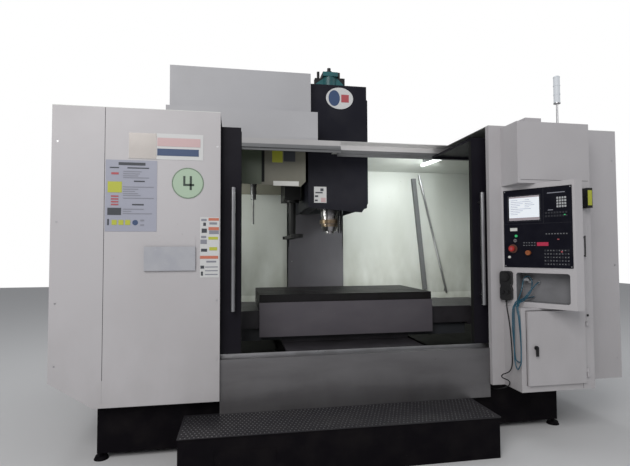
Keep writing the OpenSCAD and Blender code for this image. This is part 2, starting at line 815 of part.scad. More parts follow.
// A tool pot along -X with its mouth at the far end
module tool_pot() {
    rotate([0, -90, 0]) difference() {
        union() {
            cylinder(r = pot_r, h = pot_l);
            rod_z([0, 0, pot_l * 0.3], pot_r + 2, 8);
        }
        translate([0, 0, 12]) cylinder(r1 = 15, r2 = 26, h = pot_l - 11);
    }
}

// Magazine disc with its hub, pockets and pots, and a tool in every pot
module magazine_disc() {
    pitch = 360 / station_n;
    color("#5a5f63") translate([disc_x - disc_t, spindle_y, disc_z]) difference() {
        rotate([0, 90, 0]) cylinder(r = station_r + 38, h = disc_t);
        rotate([0, 90, 0]) rod_z([0, 0, -1], 90, disc_t + 2);
        for (i = [0:5])
            rotate([i * 60 + 30, 0, 0]) translate([-1, 0, 175]) rotate([0, 90, 0])
                cylinder(r = 55, h = disc_t + 2);
        box([-1, -45, -station_r - 60], [disc_t + 2, 90, 100]);
    }
    color("#6b6f72") translate([disc_x - disc_t, spindle_y, disc_z]) difference() {
        rotate([0, 90, 0]) cylinder(r = 90, h = disc_t + 5);
        rotate([0, 90, 0]) rod_z([0, 0, disc_t - 30], 30, 40);
    }
    for (i = [1:station_n - 1])
        translate([disc_x - disc_t, spindle_y, disc_z]) rotate([i * pitch, 0, 0])
            translate([0, 0, -station_r]) {
            color("#2a4a7a") tool_pot();
            color("#c9cccd") translate([-pot_l, 0, 0]) rotate([0, -90, 0]) tool(120 + (i * 37) % 90);
        }
}

// A tool holder: taper, grooved flange, body and cutter
module tool(l) {
    translate([0, 0, -40]) cylinder(r1 = 18, r2 = 22, h = 40);
    cylinder(r = 31, h = 8);
    rod_z([0, 0, 8], 26, 6);
    rod_z([0, 0, 14], 31, 8);
    translate([0, 0, 22]) cylinder(r1 = 24, r2 = 18, h = 60);
    rod_z([0, 0, 82], 8, l - 82);
}

// The pot at the change position, turned down with its tool, and the two levers on its pin
module waiting_pot() {
    translate([pot_x, spindle_y, pot_top]) {
        color("#2a4a7a") rotate([0, -90, 0]) tool_pot();
        color("#c9cccd") translate([0, 0, -pot_l]) mirror([0, 0, 1]) {
            tool(tool_l);
            translate([0, 0, 22]) cylinder(r1 = 26, r2 = 30, h = 70);
            rod_z([0, 0, 92], 24, 50);
        }
    }
    color(grey) for (s = [-1, 1])
        difference() {
            translate([0, spindle_y + s * 48.5, 0]) union() {
                block([pot_x, -6.5, pin_z - 15], [pin_x, 6.5, pin_z + 15]);
                rod_y([pin_x, -6.5, pin_z], 15, 13);
                block([pot_x - 15, min(-6.5, -s * 26), pin_z - 15],
                    [pot_x + 15, max(6.5, -s * 26), pin_z + 15]);
            }
            rod_y([pin_x, spindle_y - 80, pin_z], 8 + fit, 160);
            rod_z([pot_x, spindle_y, pin_z - 20], pot_r - 2, 40);
        }
}

// Changer arm parked along Y, with a hooked gripper at each end
module changer_arm() {
    color("#a9adaf") translate([arm_x, spindle_y, arm_z]) {
        rod_z([0, 0, 0], 34, 1765 - arm_z - fit);
        for (s = [0, 180])
            rotate(s) difference() {
                union() {
                    box([-36, 0, 0], [72, arm_reach - 20, 30]);
                    rod_z([0, arm_reach, 0], 52, 30);
                }
                rod_z([0, arm_reach, -1], 32, 32);
                box([0, arm_reach - 24, -1], [70, 48, 32]);
            }
    }
}

// Enclosure

// The two white front panels with folded edges, the left one with its lower corner cut and a vertical seam
module front_panels() {
    color("#d9dbda") {
        difference() {
            union() {
                difference() {
                    folded([-half_w, 0, wall_bottom], [panel_in_l, fold, wall_top]);
                    corner_cut(-1, 0);
                }
                intersection() {
                    block([-half_w, 0, wall_bottom], [panel_in_l, fold, wall_top]);
                    difference() {
                        corner_cut(0, sheet);
                        corner_cut(-1, 0);
                    }
                }
            }
            block([-1692, -1, wall_bottom - 1], [-1690, 1, wall_top + 1]);
        }
        folded([panel_in_r, 0, wall_bottom], [half_w, fold, wall_top]);
    }
}

// Everything below the slanted corner, grown by a thickness
module corner_cut(front, grow) {
    x0 = -half_w;
    upright([[x0 - 10, wall_bottom - 10], [x0 + corner_run + grow * 3, wall_bottom - 10],
        [x0 + corner_run + grow * 1.2, wall_bottom], [x0, wall_bottom + corner_rise + grow * 1.2],
        [x0 - 10, wall_bottom + corner_rise + grow * 1.2]], front, wall_depth + 2);
}

// Side and rear walls behind the front panels, the left one bent in at the bottom, the rear open at the
// column
module side_panels() {
    x0 = -half_w;
    gap = column_foot_w / 2 + 20;
    color("#d4d6d5") {
        upright([[x0, wall_top], [x0, wall_bottom + corner_rise], [x0 + corner_run, wall_bottom],
            [x0 + corner_run + 40, wall_bottom], [x0 + corner_run + 40, wall_bottom + sheet],
            [x0 + corner_run + 1, wall_bottom + sheet], [x0 + sheet, wall_bottom + corner_rise + 2],
                [x0 + sheet, wall_top]],
            fold, wall_depth - fold);
        block([half_w - sheet, fold, wall_bottom], [half_w, wall_depth, wall_top]);
        block([half_w - 40, fold, wall_bottom], [half_w - sheet, wall_depth, wall_bottom + sheet]);
        difference() {
            upright([[x0 + corner_run, wall_bottom], [-gap, wall_bottom], [-gap, wall_top],
                [x0 + sheet, wall_top],
                [x0 + sheet, wall_bottom + corner_rise]], wall_depth - sheet, sheet);
            for (i = [0:7])
                block([-1500, wall_depth - 10, 500 + i * 45], [-1100, wall_depth + 1, 515 + i * 45]);
        }
        difference() {
            block([gap, wall_depth - sheet, wall_bottom], [half_w - sheet, wall_depth, wall_top]);
            block([700, wall_depth - 10, 700], [1500, wall_depth + 1, 1500]);
        }
        for (s = [0, 1])
            mirror([s, 0, 0]) block([gap, wall_depth - 30, wall_bottom],
                [gap + sheet, wall_depth - sheet, wall_top]);
    }
}

// Roof sheets round the head and the magazine, with the header that hangs over the doors' rear edge
module roof_panels() {
    color("#d4d6d5") {
        difference() {
            block([-half_w, header_y, roof_z], [half_w, wall_depth, roof_z + sheet]);
            block([cover_left - 25, 900, roof_z - 1],
                [cover_left + cover_w + 25, wall_depth + 1, roof_z + 4]);
            block([-1380, 840, roof_z - 1], [cover_left - 24, 1700, roof_z + 4]);
            block([-325, 1880, roof_z - 1], [325, wall_depth + 1, roof_z + 4]);
        }
        block([-half_w, 0, roof_z], [panel_in_l, header_y, roof_z + sheet]);
        block([panel_in_r, 0, roof_z], [half_w, header_y, roof_z + sheet]);
        // Header: the left piece laps in front of the right one
        low = roof_z - header_h;
        block([fit - inner_x[1], header_y, low], [-20, header_y + sheet, roof_z]);
        block([fit - inner_x[1], header_y + sheet, low], [-20, header_y + 40, low + sheet]);
        block([-60, header_y + 137, low], [inner_x[0] - fit, header_y + 140, roof_z]);
        block([-60, header_y + 140, low], [inner_x[0] - fit, header_y + 180, low + sheet]);
        block([-23, header_y + sheet, low], [-20, header_y + 137, roof_z]);
    }
}

// White two-tier box over the magazine, with a rear notch for the magazine's beam
module magazine_cover() {
    z0 = roof_z + sheet;
    left = -1420;
    right = cover_left - 22;
    mid = z0 + 240;
    top = 2860;
    color("#d9dbda") difference() {
        union() {
            difference() {
                union() {
                    block([left - 5, 660, z0], [right, 1750, mid]);
                    block([left, 830, z0], [right, 1700, top]);
                }
                block([left - 5 + sheet, 660 + sheet, z0 - 1], [right - sheet, 1750 - sheet, mid - sheet]);
                block([left + sheet, 830 + sheet, z0 - 1], [right - sheet, 1700 - sheet, top - sheet]);
            }
            block([right, 660, z0], [-210, 660 + sheet, mid]);
            block([right, 830, mid], [cover_left, 830 + sheet, top]);
        }
        block([plate_x - 40, 1650, z0 - 1], [plate_x + 10, 1751, mid + 20]);
        block([right - 10, 870, 2320], [right + 1, 1600, 2480]);
    }
}

// One door leaf with its window opening, stile, roof and wheels; x0 is the leading edge and s points away
// from it
module door(x0, s, roof_d) {
    x1 = x0 + s * door_w;
    a = min(x0, x1);
    b = max(x0, x1);
    wa = min(x0 + s * (stile_w + 20), x1 - s * 110);
    wb = max(x0 + s * (stile_w + 20), x1 - s * 110);
    back = door_y + door_t + roof_d;
    difference() {
        block([a, door_y, sill_top + 5], [b, door_y + door_t, door_top]);
        block([a + sheet, door_y + sheet, sill_top + 5 + sheet], [b - sheet, door_y + door_t + 1, 930]);
        block([a + sheet, door_y + sheet, 1890], [b - sheet, door_y + door_t + 1, door_top - 20]);
        block([wa, door_y - 1, 980], [wb, door_y + door_t + 1, 1840]);
        block([wa - 12, door_y + 18, 968], [wb + 12, door_y + door_t + 1, 1852]);
    }
    difference() {
        block([a, door_y + door_t, door_top - 20], [b, back, door_top]);
        block([a + sheet, door_y + door_t - 1, door_top - 21], [b - sheet, back - sheet, door_top - sheet]);
    }
    // Wheels under the leaf and rollers at the rear of its roof
    for (x = [a + 90, b - 90]) {
        block([x - 24, door_y + 12, sill_top + 5], [x + 24, door_y + 28, sill_top + 30]);
        rod_y([x, door_y + 14, sill_top + 9 + fit], 9, 12);
        rod_y([x, back, door_top - 12], 9.7, 14);
        rod_y([x, back - sheet - 12, door_top - 12], 5, 16);
    }
    // Handle with its two standoffs
    hx = x0 + s * 52;
    color("#c4c8ca") {
        rod_z([hx, door_y - 45, 920], handle_d / 2, handle_l);
        for (z = [990, 850 + handle_l])
            rod_y([hx, door_y - 45, z], 9, 45);
    }
}

module left_door() {
    color("#22262c") door(-opening_w / 2, -1, door_roof_d);
}

module right_door() {
    color("#22262c") door(opening_w / 2, 1, door_roof_d + 137);
}

// Clear pane in a door's rebate, with its rubber edge
module pane(x0, s) {
    x1 = x0 + s * door_w;
    wa = min(x0 + s * (stile_w + 20), x1 - s * 110) - 12 + fit;
    wb = max(x0 + s * (stile_w + 20), x1 - s * 110) + 12 - fit;
    block([wa, door_y + 18, 968 + fit], [wb, door_y + 18 + pane_t, 1852 - fit]);
}

module left_window() {
    color("#9fb0b0", 0.4) pane(-opening_w / 2, -1);
}

module right_window() {
    color("#9fb0b0", 0.4) pane(opening_w / 2, 1);
}

// Stainless apron under the doors with the lower door rail, and the upper rail under the header
module door_sill() {
    run = half_w - 160;
    color("#a9adaf") {
        block([panel_in_l + 1, 30, step_h + fit], [panel_in_r - 1, 30 + sheet, sill_top - 24]);
        block([panel_in_l + 1, 30, sill_top - 24], [panel_in_r - 1, 140, sill_top - 21]);
        block([panel_in_l + 1, 30 + sheet, step_h + fit], [panel_in_r - 1, 100, step_h + fit + sheet]);
        block([-run, door_y + 8, sill_top - 21], [run, door_y + 32, sill_top - 12]);
        block([-run, door_y + 17, sill_top - 12], [run, door_y + 23, sill_top]);
        block([-run, door_y + 8, sill_top - 60], [panel_in_l + 1, door_y + 12, sill_top - 21]);
        block([panel_in_r - 1, door_y + 8, sill_top - 60], [run, door_y + 12, sill_top - 21]);
        rail_top(-run, -20, header_y);
        rail_top(-20, run, header_y + 137);
    }
    module rail_top(x0, x1, y) {
        // Channel that the rear rollers run in
        difference() {
            block([x0, y - 18, door_top - 26], [x1, y - fit, roof_z - header_h]);
            block([x0 - 1, y - 19, door_top - 22], [x1 + 1, y - 5, door_top - 2]);
        }
        block([x0, y - 5, roof_z - header_h], [x1, y - fit, roof_z - header_h + 28]);
    }
}

// Sheet liner: back wall with its slanted foot, sloping floor on both sides of the bed and inner side walls
module chip_pan() {
    y1 = wall_depth - 60;
    bed_half = bed_w / 2 + 40;
    t = sheet;
    foot = 830;
    profile = [[140, 470], [700, 450], [1500, 540], [1885, 600], [y1 - t, foot], [y1 - t, roof_z - fit],
        [y1, roof_z - fit],
        [y1, foot - 2], [1886, 597], [1500, 537], [700, 447], [140, 467]];
    color("#c3cbc2") {
        for (s = [0, 1])
            mirror([s, 0, 0]) {
                along_x(profile, bed_half, inner_x[s] - bed_half);
                block([bed_half, 140, 420], [bed_half + t, y1 - 200, saddle_bottom - 10]);
                difference() {
                    block([inner_x[s], 200, 446], [inner_x[s] + t, y1, roof_z - fit]);
                    block([inner_x[s] - 1, 1500, 445], [inner_x[s] + t + 1, y1 + 1, 500]);
                }
            }
    }
    color("#c3cbc2") for (s = [0, 1])
        mirror([s, 0, 0]) block([320, y1 - t, foot], [bed_half, y1, roof_z - fit]);
}

// Tube lamp on the ceiling at the right, the slanted grey duct and the bright pipe beside it
module work_lamp() {
    back = wall_depth - 60 - sheet - fit;
    duct_d = 41.7;
    pipe_y = back - 23.7;
    color("#e8ecea") hull() {
        translate([1040, 830, roof_z - 46]) sphere(r = 17, $fn = 20);
        translate([980, 1290, roof_z - 46]) sphere(r = 17, $fn = 20);
    }
    color("#6b6f72") {
        block([980, 900, roof_z - 34], [1070, 920, roof_z - fit]);
        block([960, 1210, roof_z - 34], [1050, 1230, roof_z - fit]);
        upright([[1137, 2150], [1183, 2150], [1310, 864], [1264, 864]], back - duct_d, duct_d);
    }
    color("#b9bdc0") {
        translate([1554, pipe_y, 820]) rotate([0, -13.36, 0]) cylinder(r = 12, h = 1415);
        for (p = [[1545, 858], [1250, 2100]])
            block([p.x - 16, pipe_y + 3, p.y - 10], [p.x + 16, back, p.y + 10]);
    }
}

// Base

// Black plinth: plates round the foot of the machine, with brackets to the side walls and the cord's gland
module base_skirt() {
    left = -half_w + corner_run;
    right = half_w - 480;
    color("#1b1d1f") {
        difference() {
            block([left, 100, 40], [right, wall_depth - 100, wall_bottom - fit]);
            block([left + sheet, 100 + sheet, 39],
                [right - sheet, wall_depth - 100 - sheet, wall_bottom - 3]);
            block([left + 40, 140, 100], [right - 40, wall_depth - 140, wall_bottom + 1]);
            block([-bed_w / 2 - fit, wall_depth - 200, 100], [bed_w / 2 + fit, wall_depth, wall_bottom]);
        }
        for (x = [left + 22, right - 22, -half_w / 2, half_w / 2 - 100])
            for (y = [122, wall_depth - 122]) {
                translate([x, y, 0]) cylinder(r1 = 45, r2 = 36, h = 22);
                rod_z([x, y, 22], 12, wall_bottom - 22 - sheet);
            }
        difference() {
            rod_y([mpg_route[len(mpg_route) - 1].x, 88, 312], 13, 12);
            rod_y([mpg_route[len(mpg_route) - 1].x, 87, 312], cord_d / 2, 10);
        }
    }
}

// Coolant tank under the step, with the step's chequered top and a suction strainer lid
module coolant_tank() {
    x0 = -1200;
    y1 = -step_front + step_d;
    color("#232527") {
        difference() {
            block([x0, -step_front, 0], [x0 + step_l, y1, step_h - 8]);
            block([x0 + 200, -step_front - 1, 30], [x0 + 560, -step_front + 4, 180]);
        }
        block([x0 - 4, -step_front - 6, step_h - 8], [x0 + step_l + 4, y1, step_h]);
        for (x = [x0 + 30:150:x0 + step_l - 60])
            for (y = [-step_front + 30, -step_front + 130, -step_front + 230, -step_front + 320])
                translate([x, y, step_h]) cylinder(r1 = 11, r2 = 7, h = 3, $fn = 16);
    }
}

// Control column and pendant

// Plan of the pendant
pendant_plan = [[control_x, -fit], [pendant_x, -pendant_d], [pendant_right - 64, -pendant_d],
    [pendant_right, 100 - pendant_d], [pendant_right, -fit]];

// White control column ahead of the right front panel, notched for the pendant, with a recess for its
// lower door
module control_cabinet() {
    x1 = control_x + control_w;
    color("#d9dbda") {
        difference() {
            block([control_x, -control_d, wall_bottom], [x1, 0, control_top]);
            block([control_x - 1, -control_d - 1, pendant_z], [pendant_right + fit, 1, pendant_top]);
            block([control_x + 36, -control_d - 1, 396], [x1 - 76, -60, 904]);
            block([control_x + 20, -control_d + sheet, pendant_top + 20], [x1 - 20, 1, control_top - 20]);
        }
        // Angled foot of the column and its top box
        block([1130, -150, control_top], [1255, -20, control_top + 42]);
        // Small sign box, pull handle and blank plate on the strip beside the pendant
        block([x1 - 75, -control_d - 60, 1608], [x1 - 33, -control_d, 1747]);
        rod_z([x1 - 70, -control_d - 24, 1268], 5, 148);
        for (z = [1276, 1406])
            rod_y([x1 - 70, -control_d - 24, z], 5, 24);
        block([x1 - 110, -control_d - 4, 905], [x1 - 40, -control_d, 1030]);
        // Hinge knuckles of the lower door
        for (z = [470, 820])
            translate([x1 - 62, -control_d - 12, z - 30]) difference() {
                union() {
                    cylinder(r = 8, h = 28);
                    box([0, -3, 0], [16, 15, 28]);
                }
                rod_z([0, 0, -1], 3.5 + fit, 20);
            }
        for (z = [470, 820])
            rod_z([x1 - 62, -control_d - 12, z - 4], 3.5, 30);
    }
}

// Places a piece on the pendant's slanted face: X along the face, -Y outward
module on_face() {
    translate([control_x, 0, 0]) rotate([0, 0, face_a]) children();
}

// Pendant housing with the recess for the panel, the round-cornered cubby and a hose hanger and two
// fittings in it
module pendant() {
    color("#d9dbda") difference() {
        translate([0, 0, pendant_z + fit]) linear_extrude(pendant_h - 2 * fit) polygon(pendant_plan);
        on_face() block([panel_u - fit, -1, panel_z - fit],
            [panel_u + panel_w + fit, 8, panel_z + panel_h + fit]);
        on_face() block([40, 7, 1240], [210, 26, 1410]);
        on_face() translate([0, 108, 0]) rotate([90, 0, 0]) linear_extrude(120)
            cubby_outline(96, 444, 955, 1158, 18);
    }
    color(grey) on_face() {
        difference() {
            translate([150, 40, 1100]) rotate([-90, 0, 0]) cylinder(r = 20, h = 68);
            box([110, 39, 1040], [80, 65, 60]);
        }
        translate([175, 98, 985]) rotate([-90, 0, 0]) hose_fitting();
        translate([214, 98, 1088]) rotate([-90, 0, 0]) hose_fitting();
    }
}

module hose_fitting() {
    difference() {
        cylinder(r = 9, h = 10, $fn = 6);
        rod_z([0, 0, -1], hose_d / 2 + 0.1, 11);
    }
}

// Rectangle with round corners of radius r
module cubby_outline(x0, x1, y0, y1, r) {
    translate([x0 + r, y0]) square([x1 - x0 - 2 * r, y1 - y0]);
    translate([x0, y0 + r]) square([x1 - x0, y1 - y0 - 2 * r]);
    for (x = [x0 + r, x1 - r])
        for (y = [y0 + r, y1 - r])
            translate([x, y]) circle(r = r);
}

// Black control panel with its screen bezel, keys, lamp, stop ring and readout; sockets for the moving
// controls
module control_panel() {
    on_face() {
        color("#17191b") difference() {
            block([panel_u, -5, panel_z], [panel_u + panel_w, 8 - fit, panel_z + panel_h]);
            block([50, -6, 1520], [268, -2, 1702]);
            translate([0, 9, 0]) socket(79, 1327, 12 + fit);
            translate([0, 9, 0]) socket(55, 1267, 9 + fit);
            translate([0, 9, 0]) socket(97, 1384, 7 + fit);
            translate([0, 9, 0]) socket(187, 1298, 6 + fit);
        }
        color("#e6ecef") block([56, -3, 1526], [262, -2, 1696]);
        color("#d8b23a") difference() {
            rod_y([79, -8, 1327], 31, 3);
            rod_y([79, -9, 1327], 12 + fit, 6);
        }
        color("#e4e6e4") {
            block([62, -7, 1452], [112, -5, 1474]);
            keys(374, 1602, 4, 4, 16, 19, 11, 13);
        }
        color("#2f9c4f") rod_y([104, -11, 1417], 9, 6);
        color("#a81f2b") block([243, -7, 1345], [317, -5, 1370]);
        color("#3b3f43") {
            keys(300, 1420, 8, 1, 18, 20, 12, 12);
            keys(290, 1215, 9, 5, 18, 23, 12, 13);
            keys(150, 1345, 5, 2, 18, 18, 12, 10);
            keys(300, 1540, 8, 2, 18, 22, 12, 13);
        }
    }
}

// A hole through the panel for a control's stem
module socket(u, z, r) {
    translate([u, 0, z]) rotate([90, 0, 0]) cylinder(r = r, h = 30);
}

// Rows of flat keys on the panel
module keys(u0, z0, nu, nz, du, dz, w, h) {
    for (i = [0:nu - 1])
        for (j = [0:nz - 1])
            block([u0 + i * du, -7, z0 + j * dz], [u0 + i * du + w, -5, z0 + j * dz + h]);
}

// Red mushroom button on its stem
module estop_button() {
    color("#c4231f") on_face() {
        rod_y([79, -20, 1327], 12, 26);
        rod_y([79, -34, 1327], stop_d / 2, 14);
        rod_y([79, -38, 1327], stop_d / 2 - 5, 4);
    }
}

module start_button() {
    color("#e8e8e4") on_face() {
        rod_y([55, -12, 1267], 9, 18);
        rod_y([55, -15, 1267], 7.5, 3);
    }
}

module key_switch() {
    color("#b9bdc0") on_face() {
        rod_y([97, -7, 1384], 7, 13);
        block([95.5, -32, 1378], [98.5, -7, 1390]);
        rod_y([97, -9, 1384], 12, 2);
    }
}

// Fluted feed knob with a pointer rib
module feed_knob() {
    color("#b8622a") on_face() {
        rod_y([187, -10, 1298], 6, 16);
        difference() {
            rod_y([187, -26, 1298], knob_d / 2, 18);
            for (i = [0:11])
                translate([187, 0, 1298]) rotate([0, i * 30, 0]) rod_y([knob_d / 2 + 1, -27, 0], 2.4, 14);
        }
        block([185.5, -28, 1298], [188.5, -26, 1298 + knob_d / 2 - 1]);
    }
}

// Hand unit: waisted body on a hook plate, with its selector knobs and cord relief
module mpg_body() {
    c = 36;
    color("#1a1c1e") on_face() {
        difference() {
            translate([0, -8, 0]) rotate([90, 0, 0]) linear_extrude(38) hull() {
                translate([c - 23, 978]) circle(r = 17);
                translate([c + 23, 978]) circle(r = 17);
                translate([c - 20, 1148]) circle(r = 20);
                translate([c + 20, 1148]) circle(r = 20);
            }
            rod_y([c, -47, 1128], 8 + fit, 20);
            for (s = [-1, 1])
                translate([c + s * 58, 1, 1062]) rotate([90, 0, 0]) cylinder(r = 24, h = 60);
        }
        block([c - 25, -8, 1020], [c + 25, -fit, 1140]);
        for (x = [c - 17, c + 17])
            rod_y([x, -60, 1020], 11, 14);
        block([c - 44, -34, 1100], [c - 38, -18, 1130]);
    }
    color("#1a1c1e") translate([mpg_route[0].x, mpg_route[0].y, 946]) difference() {
        cylinder(r1 = 6, r2 = 9, h = 20);
        rod_z([0, 0, -1], cord_d / 2 + 0.05, 13);
    }
}

module mpg_wheel() {
    c = 36;
    color("#3a3d40") on_face() {
        rod_y([c, -50, 1128], 8, 18);
        difference() {
            rod_y([c, -60, 1128], wheel_d / 2, 13);
            for (i = [0:17])
                translate([c, 0, 1128]) rotate([0, i * 20, 0]) rod_y([wheel_d / 2 + 1, -61, 0], 2.6, 15);
        }
        rod_y([c + 18, -70, 1128], 5, 10);
    }
}

// Cross direction of the route at point i
function heading(route, i) = route[min(i + 1, len(route) - 1)] - route[max(i - 1, 0)];

// Turns of a frame that is carried along a route without twist
function carry(route, i, side) = let (t = heading(route, i), s = side - t * (side * t) / (t * t)) s / norm(s);

// The side vectors of every ring, each carried from the last
function sides_of(route, i = 0, side = [1, 0.3, 0]) =
    i >= len(route) ? [] : let (s = carry(route, i, side)) concat([s], sides_of(route, i + 1, s));

// A round tube swept along a route of points
module tube(route, r, n) {
    m = len(route);
    s = sides_of(route);
    pts = [for (i = [0:m - 1]) let (t = heading(route, i), u = t / norm(t), c = cross(u, s[i]))
        for (k = [0:n - 1]) route[i] + r * (s[i] * cos(k * 360 / n) + c * sin(k * 360 / n))];
    walls = [for (i = [0:m - 2]) for (k = [0:n - 1])
        [i * n + k, (i + 1) * n + k, (i + 1) * n + (k + 1) % n, i * n + (k + 1) % n]];
    ends = [[for (k = [0:n - 1]) k], [for (k = [n - 1:-1:0]) (m - 1) * n + k]];
    polyhedron(pts, faces = concat(walls, ends));
}

module mpg_cord() {
    color("#141516") tube(mpg_route, cord_d / 2, 8);
}

module air_hose() {
    color("#1f6f80") tube(hose_route, hose_d / 2, 8);
}

// Lower door of the control column with its hinge leaves
module cabinet_door() {
    x1 = control_x + control_w - 80;
    color("#d6d8d7") {
        difference() {
            block([control_x + 40, -control_d - 20, 400], [x1, -control_d, 900]);
            block([control_x + 40 + sheet, -control_d - 20 + sheet, 400 + sheet],
                [x1 - sheet, -control_d + 1, 900 - sheet]);
            rod_y([control_x + 95, -control_d - 21, 655], 9 + fit, 22);
        }
        for (z = [470, 820])
            translate([control_x + control_w - 62, -control_d - 12, z]) difference() {
                union() {
                    cylinder(r = 8, h = 28);
                    box([-19, -3, 0], [19, 11, 28]);
                }
                rod_z([0, 0, -1], 3.5 + fit, 30);
            }
    }
}

// Swing handle of the lower door
module cabinet_lock() {
    x = control_x + 95;
    color("#1c1e20") {
        rod_y([x, -control_d - 26, 655], 9, 40);
        rod_y([x, -control_d - 34, 655], 14, 12);
        block([x - 9, -control_d - 40, 600], [x + 9, -control_d - 32, 660]);
        block([x - 30, -control_d + 8, 646], [x + 9, -control_d + 13, 664]);
    }
}

// Rear electric cabinet with its doorway
module electric_cabinet() {
    color("#c9cccb") {
        difference() {
            block([760, wall_depth, 480], [1680, wall_depth + 380, 1980]);
            block([760 + sheet, wall_depth + 40, 480 + sheet],
                [1680 - sheet, wall_depth + 381, 1980 - sheet]);
        }
        for (z = [620, 1760])
            translate([1690, wall_depth + 391, z]) {
                difference() {
                    union() {
                        cylinder(r = 9, h = 40);
                        box([-10, -11 - 40, 0], [10, 42, 40]);
                    }
                    rod_z([0, 0, 10], 4 + fit, 31);
                }
                rod_z([0, 0, 9], 4, 70);
            }
        // Mounting plate with contactors and drives inside
        block([800, wall_depth + 40, 540], [1640, wall_depth + 46, 1920]);
        for (i = [0:3])
            block([840 + i * 190, wall_depth + 46, 1350], [990 + i * 190, wall_depth + 220, 1750]);
        for (i = [0:7])
            block([850 + i * 90, wall_depth + 46, 1050], [910 + i * 90, wall_depth + 130, 1150]);
        block([900, wall_depth + 46, 600], [1300, wall_depth + 260, 860]);
    }
}

module electric_door() {
    y = wall_depth + 380 + 1;
    color("#d0d3d2") {
        difference() {
            block([762, y, 484], [1680, y + 20, 1976]);
            block([762 + sheet, y - 1, 484 + sheet], [1680 - sheet, y + 20 - sheet, 1976 - sheet]);
            rod_y([900, y - 2, 1560], 7 + fit, 30);
            for (i = [0:9])
                block([1150, y + 5, 620 + i * 26], [1450, y + 21, 630 + i * 26]);
        }
        for (z = [620, 1760])
            translate([1690, wall_depth + 391, z + 41]) difference() {
                union() {
                    cylinder(r = 9, h = 36);
                    box([-14, -6, 0], [14, 12, 36]);
                }
                rod_z([0, 0, -1], 4 + fit, 40);
            }
    }
}

module main_switch() {
    y = wall_depth + 401;
    color("#b3261e") {
        rod_y([900, y - 14, 1560], 7, 20);
        rod_y([900, y + fit, 1560], 27, 12);
        block([893, y + 12, 1532], [907, y + 30, 1588]);
    }
}

// Signal tower on the control column: foot, stem and clear stack with a cap
module tower_light() {
    x = 1465;
    y = -50;
    color("#b9bdc0") {
        rod_z([x, y, control_top], 20, 14);
        rod_z([x, y, control_top + 14], 7, 176);
    }
    color("#dfe5e6") for (i = [0:2])
        translate([x, y, control_top + 190 + i * 66]) {
            cylinder(r = 22, h = 66);
            rod_z([0, 0, 0], 24, 6);
        }
    color("#3a3d40") translate([x, y, control_top + 388]) cylinder(r1 = 24, r2 = 17, h = 9);
}

// Plates, disc, document pocket and label strip on the left front panel
module wall_plates() {
    color("#c9cccb") {
        block([-1550, -2, 1905], [-1090, 0, 2073]);
        block([-1685, -2, 1443], [-1376, 0, 1895]);
        block([-1107, -2, 1147], [-985, 0, 1537]);
    }
    color("#cfe0c8") rod_y([-1185, -2, 1756], 100, 2);
    color("#dfe3e4") difference() {
        union() {
            block([-1449, -14, 1194], [-1135, 0, 1347]);
            block([-1449, -2, 1194], [-1135, 0, 1413]);
        }
        block([-1446, -11, 1197], [-1138, -2, 1348]);
    }
}

translate([0, -mid_y, 0]) {
    bed();
    levelling_feet();
    column();
    fixed_rails();
    saddle();
    work_table();
    y_screw();
    x_screw();
    z_screw();
    fixed_servos();
    x_servo();
    fixed_way_covers();
    y_cover_mid();
    saddle_covers();
    x_cover_mid();
    table_covers();
    z_cover_mid();
    head_casting();
    spindle_housing();
    spindle();
    spindle_motor();
    motor_pulley();
    drive_belt();
    drawbar_cylinder();
    head_cover();
    magazine_frame();
    magazine_disc();
    waiting_pot();
    changer_arm();
    front_panels();
    side_panels();
    roof_panels();
    magazine_cover();
    left_door();
    right_door();
    left_window();
    right_window();
    door_sill();
    chip_pan();
    work_lamp();
    base_skirt();
    coolant_tank();
    control_cabinet();
    pendant();
    control_panel();
    estop_button();
    start_button();
    key_switch();
    feed_knob();
    mpg_body();
    mpg_wheel();
    mpg_cord();
    air_hose();
    cabinet_door();
    cabinet_lock();
    electric_cabinet();
    electric_door();
    main_switch();
    tower_light();
    wall_plates();
}
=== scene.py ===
"""Looks of the machining center, around its fixed frame.

Lengths are in metres. P() counts Y from the front plane of the enclosure, as the CAD source does.
"""
import math

import bpy
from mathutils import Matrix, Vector


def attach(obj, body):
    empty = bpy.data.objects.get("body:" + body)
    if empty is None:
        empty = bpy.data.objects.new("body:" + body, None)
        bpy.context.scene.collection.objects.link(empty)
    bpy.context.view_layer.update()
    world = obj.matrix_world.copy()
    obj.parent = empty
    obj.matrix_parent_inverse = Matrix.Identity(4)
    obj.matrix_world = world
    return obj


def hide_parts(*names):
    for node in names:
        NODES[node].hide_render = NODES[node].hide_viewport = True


MID = 1.2  # the spindle axis lies this far behind the front plane, and the frame's zero lies there too
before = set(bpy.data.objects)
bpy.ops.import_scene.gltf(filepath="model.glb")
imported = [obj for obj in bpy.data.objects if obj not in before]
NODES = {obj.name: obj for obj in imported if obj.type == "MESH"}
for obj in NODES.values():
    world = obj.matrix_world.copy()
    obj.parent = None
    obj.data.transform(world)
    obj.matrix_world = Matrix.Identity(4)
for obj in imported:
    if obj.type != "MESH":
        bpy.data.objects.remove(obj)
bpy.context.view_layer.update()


def P(x, y, z):
    """A point given from the front plane, in the part's frame."""
    return Vector((x, y - MID, z))


# Materials


def tree(name):
    m = bpy.data.materials.new(name)
    m.use_nodes = True
    return m, m.node_tree.nodes, m.node_tree.links, m.node_tree.nodes["Principled BSDF"]


def ramp(nodes, low, high, top):
    """A ramp from nothing at the low position to the top value at the high one."""
    r = nodes.new("ShaderNodeValToRGB")
    for stop, position, value in zip(r.color_ramp.elements, (low, high), (0.0, top)):
        stop.position = position
        stop.color = (value, value, value, 1)
    return r


